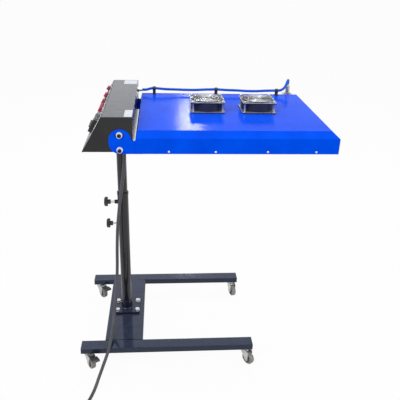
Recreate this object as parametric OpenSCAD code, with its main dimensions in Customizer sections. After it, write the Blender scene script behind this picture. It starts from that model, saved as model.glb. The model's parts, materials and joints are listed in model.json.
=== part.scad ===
// Screen printing flash dryer: a radiant hood that hangs from a telescopic column on a wheeled base.
// The origin is on the floor under the column. X runs along the hood, Y across it and Z up.

/* [Base frame] */
// Length of a base rail with its end caps
rail_l = 660; // [560:10:860]
// Width of a base rail
rail_w = 50; // [44:1:70]
// Height of a base rail and of the crossbar
rail_h = 25; // [22:1:40]
// Wall of the base tubes
frame_wall = 2; // [1.5:0.5:3]
// Distance from the column's axis to the rails' left ends
rail_left = 161; // [140:1:220]
// Distance between the centre lines of the two rails
track = 463; // [380:1:600]
// Width of the crossbar
crossbar_w = 146; // [120:2:180]

/* [Casters] */
// Height of a caster from the floor to the rail
caster_h = 70; // [66:1:90]
// Diameter of a caster wheel
wheel_d = 50; // [44:1:52]
// Width of a caster wheel's tread
wheel_w = 18; // [14:1:20]
// Distance from the swivel axis to the wheel's axle
caster_trail = 20; // [16:1:24]
// Distance from a rail's end to the caster's stem
stem_inset = 25; // [22:1:45]

/* [Column] */
// Outer diameter of the fixed lower tube
tube_d = 42; // [40:1:48]
// Outer diameter of the sliding mast
mast_d = 36; // [30:1:36]
// Wall of the mast
mast_wall = 2.5; // [2:0.5:4]
// Height of the top of the lower tube above the floor
tube_top = 634; // [580:1:700]
// Distance of the upper clamp knob below the top of the lower tube
upper_knob_drop = 42; // [34:1:60]
// Distance between the two clamp knobs
knob_spacing = 93; // [70:1:140]
// Distance from the column's axis to the outer face of the upper knob
upper_knob_reach = 71; // [66:1:80]
// Distance from the column's axis to the outer face of the lower knob
lower_knob_reach = 66; // [62:1:80]
// Diameter of a star knob
knob_d = 38; // [32:1:46]

/* [Control box] */
// Height of the underside of the control box above the floor
box_z = 889; // [860:1:960]
// Height of the control box
box_h = 113; // [105:1:140]
// Depth of the flat top of the control box
box_top_w = 96; // [90:1:130]
// Depth of the underside of the control box
box_base_w = 159; // [150:1:180]
// Distance from the column's axis to the face of the box beside the hood
box_right = 58; // [50:1:70]
// Sheet thickness of the control box
box_wall = 1.5; // [1:0.5:2]
// Thickness of the control panel
panel_t = 3; // [2:0.5:4]

/* [Hood] */
// Length of the hood
hood_l = 655; // [620:5:800]
// Width of the hood
hood_w = 540; // [500:5:640]
// Height of the hood's upright side
hood_side_h = 51; // [48:1:70]
// Height of the bevel above the side
bevel_h = 20; // [18:1:24]
// Inward slant of the bevel
bevel_in = 23; // [16:1:30]
// Inward slant of the hood's end beside the control box
left_bevel_in = 6; // [5:1:12]
// Sheet thickness of the hood
skin = 1.2; // [1:0.1:2]
// Gap between the control box and the hood
hood_gap = 8.5; // [7.5:0.5:14]
// Distance that the hood hangs below the underside of the box
hood_drop = 4.5; // [2:0.5:8]

/* [Lamps] */
// Number of quartz tubes
lamp_count = 12; // [8:1:14]
// Diameter of a quartz tube
lamp_d = 12; // [10:1:14]
// Length of a quartz tube between its end caps
lamp_l = 466; // [440:2:480]
// Spacing of the guard's wires along the hood
guard_pitch_x = 50; // [40:1:80]
// Spacing of the guard's wires across the hood
guard_pitch_y = 66; // [50:1:90]
// Thickness of a guard wire
guard_wire_d = 3; // [2:0.5:4]

/* [Fans] */
// Side of a square fan
fan_w = 120; // [110:1:120]
// Height of a fan
fan_h = 38; // [32:1:40]
// Number of blades on a rotor
blade_count = 7; // [5:1:9]
// Distance from the column's axis to the first fan's centre
fan_x = 312; // [290:1:330]
// Distance between the two fans' centres
fan_pitch = 183; // [170:1:200]
// Distance of the fans' centres behind the column
fan_y = 12; // [-10:1:30]

/* [Cords] */
// Diameter of the power cord
cord_d = 12; // [10:0.5:12]
// Diameter of the sensor cable
sensor_cable_d = 10; // [8:0.5:10]
// Number of whole turns in the cord's coil
coil_whole_turns = 4; // [4:1:6]
// Radius of the coil's outermost turn
coil_r = 76; // [72:1:90]

/* [Hidden] */
$fn = 48;

// Overrun of every cut past the face that it opens
cut = 1;
// Radial clearance of a pin, shaft or thread in its hole
running_gap = 0.05;
// Radial clearance of the mast in the lower tube and in the head's socket
slide_gap = 0.08;
// Clearance between faces that pass each other
face_gap = 0.3;
// Clearance of a screw in a plain hole
screw_gap = 0.25;
// Depth by which wires that cross are welded into each other
weld = 0.3;

// Base frame
rail_top = caster_h + rail_h;
rail_y = track / 2;
rail_x0 = -rail_left;
rail_x1 = rail_x0 + rail_l;
rail_mid_x = (rail_x0 + rail_x1) / 2;
rail_corner_r = 4;
cap_flange = 2.5;
cap_depth = 12;
cap_fit = 0.1;
crossbar_l = track - rail_w;

// Casters: near left, near right, far left and far right
stem_left_x = rail_x0 + stem_inset;
stem_right_x = rail_x1 - stem_inset;
caster_yaws = [32, 38, 36, 18];
stem_r = 5;
stem_nut_flats = 17;
stem_nut_h = 4;
stem_top_h = 12;
race_r = 17;
race_h = 3.6;
crown_r = 18;
crown_h = 6;
crown_top = caster_h - stem_nut_h - race_h - face_gap;
crown_z = crown_top - crown_h;
rivet_r = 8;
rivet_h = 2.4;
fork_gap = 22;
fork_t = 2.2;
fork_root = 15;
axle_r = 3;
axle_head_r = 5;
axle_head_t = 1.6;
axle_z = wheel_d / 2;
axle_boss_r = 8;
tread_t = 7.5;
hub_r = wheel_d / 2 - tread_t;
hub_boss_r = 7.5;
hub_web_in = 4;
hub_rim_t = 2.4;
hub_boss_w = fork_gap - 2 * face_gap;
brake_pin_r = 2;
brake_boss_r = 4;
brake_back = 11;
brake_clear = 2;
brake_y = -caster_trail - brake_back;
brake_z = axle_z + wheel_d / 2 + brake_boss_r + brake_clear;
pedal_w = 30;
pedal_l = 34;
pedal_t = 2.5;
pedal_lip = 8;
pedal_slope = 8;
pedal_lip_slope = 50;

// Column
tube_r = tube_d / 2;
mast_r = mast_d / 2;
tube_bore_r = mast_r + slide_gap;
foot_l = 98;
foot_w = 92;
foot_t = 8;
foot_x = 4;
foot_collar_t = 2;
foot_collar_r = tube_r + foot_collar_t;
foot_collar_h = 38;
foot_weld = 4;
foot_bolt_dx = 82;
foot_bolt_dy = 64;
foot_bolt_r = 5;
foot_bolt_flats = 17;
foot_bolt_head_h = 6.4;
foot_nut_h = 8;
foot_washer_r = 10;
foot_washer_t = 2;
top_ring_t = 1.2;
top_ring_r = tube_r + top_ring_t;
top_ring_h = 10;
mast_z0 = 308;
upper_knob_z = tube_top - upper_knob_drop;
lower_knob_z = upper_knob_z - knob_spacing;
stud_r = 4;
upper_boss_r = 8;
upper_boss_reach = 32;
lower_boss_r = 7;
lower_boss_reach = 28;
knob_t = 13;
knob_hub_r = 9;
knob_hub_h = 11;
knob_lobes = 5;
knob_lobe_share = 0.15;
knob_core_share = 0.34;
knob_lobe_r = knob_d * knob_lobe_share;
knob_core_r = knob_d * knob_core_share;
knob_crown = 4;
knob_stud_depth = 12;

// Head
socket_plate_l = 110;
socket_plate_w = 70;
socket_plate_t = 5;
socket_wall = 5;
socket_r = mast_r + socket_wall;
socket_h = 46;
socket_ring_h = 8;
socket_ring_t = 2;
socket_ring_r = socket_r + socket_ring_t;
socket_bolt_dx = 86;
socket_bolt_dy = 48;
socket_bolt_r = 3;
socket_bolt_flats = 10;
socket_bolt_head_h = 4;
socket_bolt_l = 14;
socket_z = box_z - socket_plate_t;
mast_top = socket_z - face_gap;
hood_half_w = hood_w / 2;
bracket_t = 3;
bracket_y = hood_half_w - skin - bracket_t;
box_half_l = bracket_y - face_gap;
box_top = box_z + box_h;
box_top_left = box_right - box_top_w;
box_base_left = box_right - box_base_w;
panel_rise = box_h;
panel_run = box_top_left - box_base_left;
panel_l = sqrt(panel_rise * panel_rise + panel_run * panel_run);
panel_angle = atan2(panel_rise, panel_run);
panel_shift = panel_t / sin(panel_angle);
panel_flange = 14;

// Panel controls: places along Y and distances down the panel from its top edge
control_s = 32;
heater_rocker_share = 0.874;
fan_rocker_share = 0.444;
sensor_rocker_share = 0.079;
main_rocker_share = -0.207;
breaker_share = -0.704;
heater_rocker_y = heater_rocker_share * box_half_l;
fan_rocker_y = fan_rocker_share * box_half_l;
sensor_rocker_y = sensor_rocker_share * box_half_l;
main_rocker_y = main_rocker_share * box_half_l;
breaker_y = breaker_share * box_half_l;
rocker_w = 24;
main_rocker_w = 78;
rocker_h = 17;
rocker_side_gap = 0.5;
rocker_end_gap = 1.9;
rocker_valley = 2;
rocker_fall = 1.2;
rocker_proud = 12;
rocker_depth = 7;
rocker_throw = 9;
rocker_pin_r = 1.5;
rocker_pin_l = 1.2;
bezel_rim = 2.5;
bezel_t = 2;
bezel_depth = 12;
bezel_wall = 2;
breaker_s = 52;
breaker_w = 70;
breaker_h = 45;
breaker_proud = 13;
breaker_depth = 40;
breaker_poles = 4;
breaker_slot_h = 22;
lever_r = 9;
lever_tip = 9.5;
lever_tip_t = 4.5;
lever_bar_t = 2.5;
lever_gap = 1;
lever_pin_r = 1.5;
lever_throw = 24;

// Cable glands
cord_exit_x = 16;
cord_exit_y = -50;
gland_flats = 24;
gland_nut_h = 6;
gland_l = 28;
gland_neck_r = 9;
gland_thread_r = 8;
gland_inside = 8;
gland_locknut_h = 4;
sensor_line_inset = 33.5;
sensor_exit_rise = 83;
sensor_line_y = box_half_l - sensor_line_inset;
sensor_exit_z = box_z + sensor_exit_rise;
sensor_gland_flats = 16;
sensor_gland_nut_h = 4;
sensor_gland_l = 16;
sensor_gland_neck_r = 7;
sensor_thread_r = 5.5;

// Relay block inside the control box
relay_l = 60;
relay_w = 90;
relay_h = 62;
relay_x = -20;
relay_y = 112;
relay_step = 14;
din_rail_w = 35;
din_rail_t = 3;
din_rail_extra = 60;

// Hood
hood_x0 = box_right + hood_gap;
hood_x1 = hood_x0 + hood_l;
hood_z = box_z - hood_drop;
hood_side_top = hood_z + hood_side_h;
hood_top = hood_side_top + bevel_h;
hood_lip = 12;
bracket_drop = 0.8;
bracket_lobe_r = 35;
bracket_lobe_x = 18.5;
bracket_rise = 79.5;
bracket_arm_rise = 45.5;
bracket_top = hood_z + bracket_rise;
bracket_arm_top = hood_z + bracket_arm_rise;
bracket_in = 23;
pivot_x = 17.2;
pivot_rise = 13;
pivot_z = hood_z + pivot_rise;
tilt_slot_up = 48.6;
tilt_slot_swing = 10.5;
slot_relief = 0.4;
tilt_bolt_r = 5;
tilt_washer_r = 10;
tilt_washer_t = 2;
tilt_head_r = 8;
tilt_head_h = 9;
tilt_hex_flats = 8;
tilt_hex_depth = 5;
tilt_nut_h = 8;
tilt_nut_flats = 13;
side_screw_rise = 7;
side_screw_z = hood_z + side_screw_rise;
side_screw_shares = [0.16, 0.388, 0.645, 0.887];
side_screw_r = 2;
side_screw_head_r = 4;
side_screw_head_h = 2.4;
side_screw_l = 10;

// Guard, reflector, lamps and insulation inside the hood
guard_frame_t = 2;
guard_frame_w = 16;
guard_frame_h = 14;
guard_half_w = bracket_y - face_gap;
guard_z = hood_z + skin;
guard_x0 = hood_x0 + skin + face_gap;
guard_x1 = hood_x1 - skin - face_gap;
reflector_t = 1;
reflector_rise = 32;
reflector_z = hood_z + reflector_rise;
reflector_edge = 1.5;
slot_l = 90;
slot_w = 6;
slot_rows = 3;
slot_gap = 36;
lamp_rise = 20;
lamp_z = hood_z + lamp_rise;
lamp_margin = 42;
lamp_pitch = (guard_x1 - guard_x0 - 2 * lamp_margin) / (lamp_count - 1);
lamp_cap_t = 2.2;
lamp_cap_r = lamp_d / 2 + lamp_cap_t;
lamp_cap_l = 24;
lamp_pin_r = 2;
lamp_pin_l = 5;
holder_t = 2;
holder_y = (lamp_l + lamp_cap_l) / 2;
holder_foot = 12;
holder_x0 = guard_x0 + guard_frame_t + face_gap;
holder_x1 = guard_x1 - guard_frame_t - face_gap;
holder_z = lamp_z - lamp_cap_r - holder_t;
insulation_t = 28;
insulation_in = 22;

// Fans
fan_flange_t = 4;
fan_corner_r = 6;
fan_barrel_t = 2;
fan_edge = 4;
fan_bore_r = fan_w / 2 - fan_edge;
duct_gap = 1;
duct_r = fan_bore_r + duct_gap;
fan_screw_inset = 7.5;
fan_screw_d = fan_w - 2 * fan_screw_inset;
fan_screw_r = 1.9;
fan_motor_r = 21;
fan_motor_h = 7;
fan_strut_w = 5;
fan_strut_t = 3;
fan_pin_r = 4;
rotor_hub_r = 21;
rotor_z = fan_motor_h + face_gap;
rotor_top_gap = 3;
rotor_h = fan_h - rotor_z - rotor_top_gap;
rotor_tip_gap = 2;
rotor_tip_r = fan_bore_r - rotor_tip_gap;
blade_t = 1.8;
blade_pitch = 42;
blade_chord = (rotor_h - blade_t) / sin(blade_pitch);
guard_ring_wire_r = 1;
guard_ring_count = 5;
guard_ring_r0 = 11;
guard_ring_inset = 7;
guard_ring_pitch = (fan_bore_r - guard_ring_r0 - guard_ring_inset) / (guard_ring_count - 1);
guard_eye_r = 4.5;
guard_eye_t = 2.6;
fan_nut_h = 3;
fan_nut_flats = 7;
fan_screw_head_r = 4;
fan_screw_head_h = 2.4;

// Sensor, its bracket and the clips of its cable
clip_w = 12;
clip_wall = 2.6;
clip_post_t = 6;
clip_foot_t = 2;
clip_foot_l = 20;
sensor_inset = 51.5;
sensor_bracket_out = 36;
sensor_x = hood_x1 - sensor_inset;
sensor_y = hood_half_w + sensor_bracket_out / 2;
sensor_r = 9;
sensor_below = 50.5;
sensor_above = 24.5;
sensor_low = hood_top - sensor_below;
sensor_high = hood_top + sensor_above;
sensor_neck_h = 9;
sensor_neck_r = 7;
sensor_shelf_drop = 6.5;
sensor_shelf_z = hood_top - sensor_shelf_drop;
sensor_shelf_t = 2;
sensor_bracket_w = 40;
sensor_nut_flats = 24;
sensor_nut_h = 5;

// Cord, coil and plug
cord_r = cord_d / 2;
sensor_cable_r = sensor_cable_d / 2;
cord_sides = 8;
coil_sides = 6;
coil_rings_per_turn = 24;
coil_gap = 0.6;
coil_pitch = cord_d + coil_gap;
coil_exit_angle = 270;
plug_run = 24;
plug_nose_l = 40;
plug_nose_r = 12;
plug_l = 52;
plug_w = 44;
plug_round = 6;
plug_pin_l = 20;
plug_pin_r = 3;
plug_pin_spread = 10;

// Routes of the cords, in millimetres, from the end at the head
upper_route = [[16, -50, 861], [16, -50, 841], [16, -50, 821], [14, -49, 780], [10, -47, 740],
    [6, -46, 710], [2, -45, 680], [-1, -45, 660], [-4, -45, 640]];
lower_route = [[-4, -45, 640], [-7, -45, 620], [-10, -45, 600], [-16, -46, 550], [-21, -48, 500],
    [-24, -51, 450], [-26, -56, 400], [-27, -63, 350], [-29, -73, 300], [-32, -87, 252],
    [-36, -108, 207], [-40, -136, 166], [-43, -170, 132], [-47, -209, 113], [-51, -250, 105],
    [-59, -285, 90], [-72, -315, 64], [-86, -342, 34], [-97, -370, 13], [-107, -402, 6],
    [-117, -433, 6], [-127, -464, 6], [-137, -495, 6]];
sensor_loop_route = [[74, 232, 972], [84, 232, 972], [94, 232, 973], [104, 232, 976],
    [113, 232, 978], [114.7, 232, 978]];
sensor_route = [[115, 232, 978], [127, 232, 978], [165, 232, 975], [205, 232, 974], [245, 232, 973],
    [285, 232, 973], [325, 232, 975], [361, 232, 976], [373, 232, 976], [410, 232, 974],
    [450, 232, 973], [490, 232, 971], [530, 232, 971], [570, 232, 973], [606, 232, 974],
    [618, 232, 974], [634, 235, 977], [647, 243, 985], [655, 253, 995], [661, 264, 1004],
    [666, 275, 1007], [669, 283, 1004], [670, 287, 998], [670, 288, 993], [670, 288, 989.3]];

// The spans of the sensor cable's route that lie in a clip
clip_spans = [0, 7, 14];

// Helpers

// A rectangle with round corners, centred on the origin
module round_rect(w, h, r) {
    square([w - 2 * r, h], center = true);
    square([w, h - 2 * r], center = true);
    for (x = [-1, 1], y = [-1, 1])
        translate([x * (w / 2 - r), y * (h / 2 - r)]) circle(r);
}

// A hexagonal prism on the XY plane, measured across its flats
module hex(flats, h) {
    cylinder(r = flats / sqrt(3), h = h, $fn = 6);
}

// A straight round bar between two heights
module bar(r, z0, z1) {
    translate([0, 0, z0]) cylinder(r = r, h = z1 - z0);
}

// Turns an upright child so that its top points along X
module along_x() {
    rotate([0, 90, 0]) children();
}

// Extrudes an outline in Y and Z along X, centred on the YZ plane
module extrude_x(l) {
    rotate([90, 0, 90]) linear_extrude(l, center = true) children();
}

// Extrudes an outline in X and Z along Y, centred on the XZ plane
module extrude_y(l) {
    rotate([90, 0, 0]) linear_extrude(l, center = true) children();
}

// A box between two corners
module block(low, high) {
    translate(low) cube(high - low);
}

function unit(v) = v / norm(v);

function heading(p, i) = unit(p[min(i + 1, len(p) - 1)] - p[max(i - 1, 0)]);

// A point on the smooth curve through b and c
function curve_point(a, b, c, d, t) =
    ((2 * b) + (c - a) * t + (2 * a - 5 * b + 4 * c - d) * t * t + (3 * b - a - 3 * c + d) * t * t * t)
        / 2;

// The route with each span cut into equal steps of the smooth curve
function smooth_route(p, steps) = let (last = len(p) - 1) concat(
    [for (i = [0 : last - 1], k = [0 : steps - 1])
        curve_point(i == 0 ? 2 * p[0] - p[1] : p[i - 1], p[i], p[i + 1],
            i == last - 1 ? 2 * p[last] - p[last - 1] : p[i + 2], k / steps)],
    [p[last]]);

function ring_points(p, i, r, sides, side) =
    let (t = heading(p, i), a = unit(side - (side * t) * t), b = cross(t, a))
    [for (k = [0 : sides - 1]) p[i] + r * (cos(360 * k / sides) * a + sin(360 * k / sides) * b)];

// A tube of round section along a row of points, as one closed skin of triangles
module swept_tube(p, r, sides, side) {
    last = len(p) - 1;
    points = [for (i = [0 : last]) each ring_points(p, i, r, sides, side)];
    walls = [for (i = [0 : last - 1], k = [0 : sides - 1])
        let (a = i * sides + k, b = i * sides + (k + 1) % sides)
        each [[a, a + sides, b + sides], [a, b + sides, b]]];
    start_cap = [for (k = [1 : sides - 2]) [0, k, k + 1]];
    end_cap = [for (k = [1 : sides - 2]) [last * sides, last * sides + k + 1, last * sides + k]];
    polyhedron(points, concat(start_cap, walls, end_cap));
}

// Base frame

module base_rail(y) {
    difference() {
        translate([rail_mid_x, y, caster_h + rail_h / 2]) extrude_x(rail_l - 2 * cap_flange) difference() {
            round_rect(rail_w, rail_h, rail_corner_r);
            round_rect(rail_w - 2 * frame_wall, rail_h - 2 * frame_wall, rail_corner_r - frame_wall / 2);
        }
        for (x = [stem_left_x, stem_right_x])
            translate([x, y, caster_h - cut]) cylinder(r = stem_r + screw_gap, h = frame_wall + 2 * cut);
    }
}

module near_rail() {
    color([0.16, 0.17, 0.22]) base_rail(-rail_y);
}

module far_rail() {
    color([0.16, 0.17, 0.22]) base_rail(rail_y);
}

module rail_end_cap() {
    translate([cap_flange / 2, 0, 0]) extrude_x(cap_flange) round_rect(rail_w, rail_h, rail_corner_r);
    plug_w = rail_w - 2 * (frame_wall + cap_fit);
    plug_h = rail_h - 2 * (frame_wall + cap_fit);
    translate([cap_flange + cap_depth / 2, 0, 0]) extrude_x(cap_depth) difference() {
        round_rect(plug_w, plug_h, rail_corner_r - frame_wall / 2);
        round_rect(plug_w - 2 * frame_wall, plug_h - 2 * frame_wall, frame_wall);
    }
}

module rail_end_caps() {
    color([0.1, 0.1, 0.12]) for (y = [-rail_y, rail_y]) {
        translate([rail_x0, y, caster_h + rail_h / 2]) rail_end_cap();
        translate([rail_x1, y, caster_h + rail_h / 2]) mirror([1, 0, 0]) rail_end_cap();
    }
}

module at_foot_bolts() {
    for (x = [-1, 1], y = [-1, 1])
        translate([foot_x + x * foot_bolt_dx / 2, y * foot_bolt_dy / 2, rail_top]) children();
}

module crossbar() {
    color([0.17, 0.18, 0.24]) difference() {
        translate([0, 0, caster_h + rail_h / 2]) extrude_y(crossbar_l) difference() {
            round_rect(crossbar_w, rail_h, rail_corner_r);
            round_rect(crossbar_w - 2 * frame_wall, rail_h - 2 * frame_wall,
                rail_corner_r - frame_wall / 2);
        }
        at_foot_bolts() bar(foot_bolt_r + screw_gap, -frame_wall - cut, cut);
    }
}

module column_foot() {
    color([0.16, 0.17, 0.22]) difference() {
        union() {
            translate([foot_x, 0, rail_top]) linear_extrude(foot_t) round_rect(foot_l, foot_w, foot_weld);
            bar(foot_collar_r, rail_top, rail_top + foot_t + foot_collar_h);
            translate([0, 0, rail_top + foot_t])
                cylinder(r1 = foot_collar_r + foot_weld, r2 = foot_collar_r, h = foot_weld);
        }
        bar(tube_r + running_gap, rail_top - cut, rail_top + foot_t + foot_collar_h + cut);
        at_foot_bolts() bar(foot_bolt_r + screw_gap, -cut, foot_t + cut);
    }
}

module foot_bolts() {
    color([0.78, 0.79, 0.8]) at_foot_bolts() {
        bar(foot_bolt_r, -frame_wall - foot_nut_h - face_gap, foot_t + foot_washer_t);
        bar(foot_washer_r, foot_t, foot_t + foot_washer_t);
        translate([0, 0, foot_t + foot_washer_t]) hex(foot_bolt_flats, foot_bolt_head_h);
        translate([0, 0, -frame_wall - foot_nut_h]) hex(foot_bolt_flats, foot_nut_h);
    }
}

module outer_column() {
    color([0.14, 0.14, 0.17]) difference() {
        union() {
            bar(tube_r, rail_top, tube_top);
            bar(top_ring_r, tube_top - top_ring_h, tube_top);
            translate([0, 0, upper_knob_z]) rotate([0, -90, 0]) cylinder(r = upper_boss_r,
                h = upper_boss_reach);
            translate([0, 0, lower_knob_z]) rotate([0, -90, 0]) cylinder(r = lower_boss_r,
                h = lower_boss_reach);
        }
        bar(tube_bore_r, rail_top - cut, tube_top + cut);
        for (z = [upper_knob_z, lower_knob_z])
            translate([0, 0, z]) rotate([0, -90, 0]) cylinder(r = stud_r + running_gap,
                h = upper_boss_reach + cut);
    }
}

// Casters

function caster_place(i) = [i % 2 == 0 ? stem_left_x : stem_right_x, i < 2 ? -rail_y : rail_y, 0];

module at_caster(i) {
    translate(caster_place(i)) rotate([0, 0, caster_yaws[i]]) children();
}

module caster_stems() {
    color([0.72, 0.73, 0.74]) for (i = [0 : 3]) at_caster(i) {
        bar(stem_r, crown_z - face_gap - rivet_h, caster_h + stem_top_h);
        bar(rivet_r, crown_z - face_gap - rivet_h, crown_z - face_gap);
        bar(race_r, caster_h - stem_nut_h - race_h, caster_h - stem_nut_h);
        translate([0, 0, caster_h - stem_nut_h]) hex(stem_nut_flats, stem_nut_h);
        translate([0, 0, caster_h + frame_wall]) hex(stem_nut_flats, stem_nut_h);
    }
}

module fork_cheek(braked) {
    polygon([[-crown_r * 0.9, crown_top], [fork_root, crown_top], [fork_root, crown_z],
        [-caster_trail + axle_boss_r, axle_z], [-caster_trail - axle_boss_r, axle_z],
        [-caster_trail - axle_boss_r, crown_z]]);
    translate([-caster_trail, axle_z]) circle(axle_boss_r);
    if (braked) {
        polygon([[-crown_r * 0.9, crown_top], [brake_y, brake_z + brake_boss_r],
            [brake_y, brake_z - brake_boss_r], [-caster_trail - axle_boss_r, axle_z + axle_boss_r]]);
        translate([brake_y, brake_z]) circle(brake_boss_r);
    }
}

module caster_fork(braked) {
    axle_half = fork_gap / 2 + fork_t;
    color([0.75, 0.76, 0.76]) difference() {
        union() {
            bar(crown_r, crown_z, crown_top);
            for (x = [-1, 1])
                translate([x * (fork_gap + fork_t) / 2, 0, 0]) extrude_x(fork_t) fork_cheek(braked);
            translate([-axle_half, -caster_trail, axle_z]) along_x() cylinder(r = axle_r,
                h = 2 * axle_half);
            for (x = [-1, 1])
                translate([x * (axle_half + axle_head_t / 2), -caster_trail, axle_z]) along_x()
                    cylinder(r = axle_head_r, h = axle_head_t, center = true);
            if (braked)
                translate([-axle_half, brake_y, brake_z]) along_x() cylinder(r = brake_pin_r,
                    h = 2 * axle_half);
        }
        bar(stem_r + running_gap, crown_z - cut, crown_top + cut);
    }
}

module caster_hub() {
    color([0.3, 0.3, 0.32]) translate([0, -caster_trail, axle_z]) along_x() difference() {
        union() {
            cylinder(r = hub_r - running_gap, h = wheel_w, center = true);
            cylinder(r = hub_boss_r, h = hub_boss_w, center = true);
        }
        for (z = [-1, 1]) translate([0, 0, z * wheel_w / 2]) difference() {
            cylinder(r = hub_r - hub_rim_t, h = 2 * hub_web_in, center = true);
            cylinder(r = hub_boss_r, h = 2 * hub_web_in + cut, center = true);
        }
        cylinder(r = axle_r + running_gap, h = hub_boss_w + 2 * cut, center = true);
    }
}

module caster_tyre() {
    color([0.55, 0.54, 0.5]) translate([0, -caster_trail, axle_z]) along_x() rotate_extrude($fn = 96) {
        translate([hub_r + tread_t / 4, 0]) square([tread_t / 2, wheel_w], center = true);
        translate([hub_r + tread_t / 2, 0]) round_rect(tread_t, wheel_w, tread_t / 2 - cap_fit);
    }
}

module near_left_fork() {
    at_caster(0) caster_fork(true);
}

module near_right_fork() {
    at_caster(1) caster_fork(false);
}

module far_left_fork() {
    at_caster(2) caster_fork(true);
}

module far_right_fork() {
    at_caster(3) caster_fork(false);
}

module near_left_hub() {
    at_caster(0) caster_hub();
}

module near_right_hub() {
    at_caster(1) caster_hub();
}

module far_left_hub() {
    at_caster(2) caster_hub();
}

module far_right_hub() {
    at_caster(3) caster_hub();
}

module near_left_tyre() {
    at_caster(0) caster_tyre();
}

module near_right_tyre() {
    at_caster(1) caster_tyre();
}

module far_left_tyre() {
    at_caster(2) caster_tyre();
}

module far_right_tyre() {
    at_caster(3) caster_tyre();
}

// A pedal's outline in Y and Z: a boss on the pin, a tread and a lip that bends down
module pedal_outline() {
    circle(brake_boss_r);
    rotate(180 - pedal_slope) translate([0, -brake_boss_r]) square([pedal_l, pedal_t]);
    rotate(180 - pedal_slope) translate([pedal_l, -brake_boss_r]) rotate(pedal_lip_slope)
        square([pedal_lip, pedal_t]);
}

module brake_pedal() {
    color([0.7, 0.71, 0.72]) translate([0, brake_y, brake_z]) difference() {
        union() {
            extrude_x(fork_gap - 2 * face_gap) circle(brake_boss_r);
            difference() {
                extrude_x(fork_gap - 2 * face_gap) pedal_outline();
                translate([0, -pedal_l, 0]) cube([fork_gap, cut, cut], center = true);
            }
            difference() {
                extrude_x(pedal_w) pedal_outline();
                translate([0, brake_boss_r - axle_boss_r / 2, 0])
                    cube([pedal_w + 2 * cut, 2 * axle_boss_r + brake_boss_r, 4 * brake_boss_r],
                        center = true);
            }
        }
        along_x() cylinder(r = brake_pin_r + running_gap, h = pedal_w + 2 * cut, center = true);
    }
}

module near_brake_pedal() {
    at_caster(0) brake_pedal();
}

module far_brake_pedal() {
    at_caster(2) brake_pedal();
}

// Mast and clamp knobs

module mast() {
    color([0.16, 0.16, 0.19]) difference() {
        bar(mast_r, mast_z0, mast_top);
        bar(mast_r - mast_wall, mast_z0 - cut, mast_top + cut);
    }
}

// A star knob that points along -X, with its outer face at the given reach
module star_knob(z, reach) {
    color([0.08, 0.08, 0.1]) translate([-reach, 0, z]) along_x() difference() {
        union() {
            intersection() {
                linear_extrude(knob_t) {
                    circle(knob_core_r);
                    for (k = [0 : knob_lobes - 1])
                        rotate(360 * k / knob_lobes) translate([knob_d / 2 - knob_lobe_r, 0])
                            circle(knob_lobe_r);
                }
                rotate_extrude($fn = 72) polygon([[0, 0], [knob_d / 2 - knob_crown, 0],
                    [knob_d / 2, knob_crown], [knob_d / 2, knob_t - knob_crown / 2],
                    [knob_d / 2 - knob_crown / 2, knob_t], [0, knob_t]]);
            }
            cylinder(r = knob_hub_r, h = knob_t + knob_hub_h);
        }
        translate([0, 0, knob_t + knob_hub_h - knob_stud_depth])
            cylinder(r = stud_r + running_gap, h = knob_stud_depth + cut);
    }
}

// The threaded stud of a star knob, from inside its hub to the mast
module clamp_stud(z, reach) {
    stud_end = reach - knob_t - knob_hub_h + knob_stud_depth;
    color([0.85, 0.86, 0.87]) translate([-stud_end, 0, z]) along_x()
        cylinder(r = stud_r, h = stud_end - mast_r - face_gap);
}

module upper_knob() {
    star_knob(upper_knob_z, upper_knob_reach);
}

module upper_stud() {
    clamp_stud(upper_knob_z, upper_knob_reach);
}

module lower_knob() {
    star_knob(lower_knob_z, lower_knob_reach);
}

module lower_stud() {
    clamp_stud(lower_knob_z, lower_knob_reach);
}

// Head

module at_socket_bolts() {
    for (x = [-1, 1], y = [-1, 1])
        translate([x * socket_bolt_dx / 2, y * socket_bolt_dy / 2, socket_z]) children();
}

module head_socket() {
    color([0.14, 0.14, 0.16]) difference() {
        union() {
            translate([0, 0, socket_z]) linear_extrude(socket_plate_t)
                round_rect(socket_plate_l, socket_plate_w, foot_weld);
            bar(socket_r, socket_z - socket_h, socket_z);
            bar(socket_ring_r, socket_z - socket_h, socket_z - socket_h + socket_ring_h);
            translate([0, 0, socket_z - foot_weld])
                cylinder(r1 = socket_r, r2 = socket_r + foot_weld, h = foot_weld);
        }
        bar(tube_bore_r, socket_z - socket_h - cut, socket_z);
        at_socket_bolts() bar(socket_bolt_r + screw_gap, -cut, socket_plate_t + cut);
    }
}

module box_profile(shift) {
    polygon([[box_base_left + shift, box_z], [box_right, box_z], [box_right, box_top],
        [box_top_left + shift, box_top]]);
}

// Places a child on the panel's outer face: X up the slope, Y along the panel and Z outwards
module on_panel(y, s) {
    translate([box_top_left, y, box_top]) rotate([0, -panel_angle, 0]) translate([-s, 0, 0]) children();
}

// The two tilt bolts' holes or places at one end of the box
module at_tilt_bolts() {
    for (y = [-1, 1], up = [0, tilt_slot_up])
        translate([pivot_x, y * box_half_l, pivot_z + up]) rotate([y * -90, 0, 0]) children();
}

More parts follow.
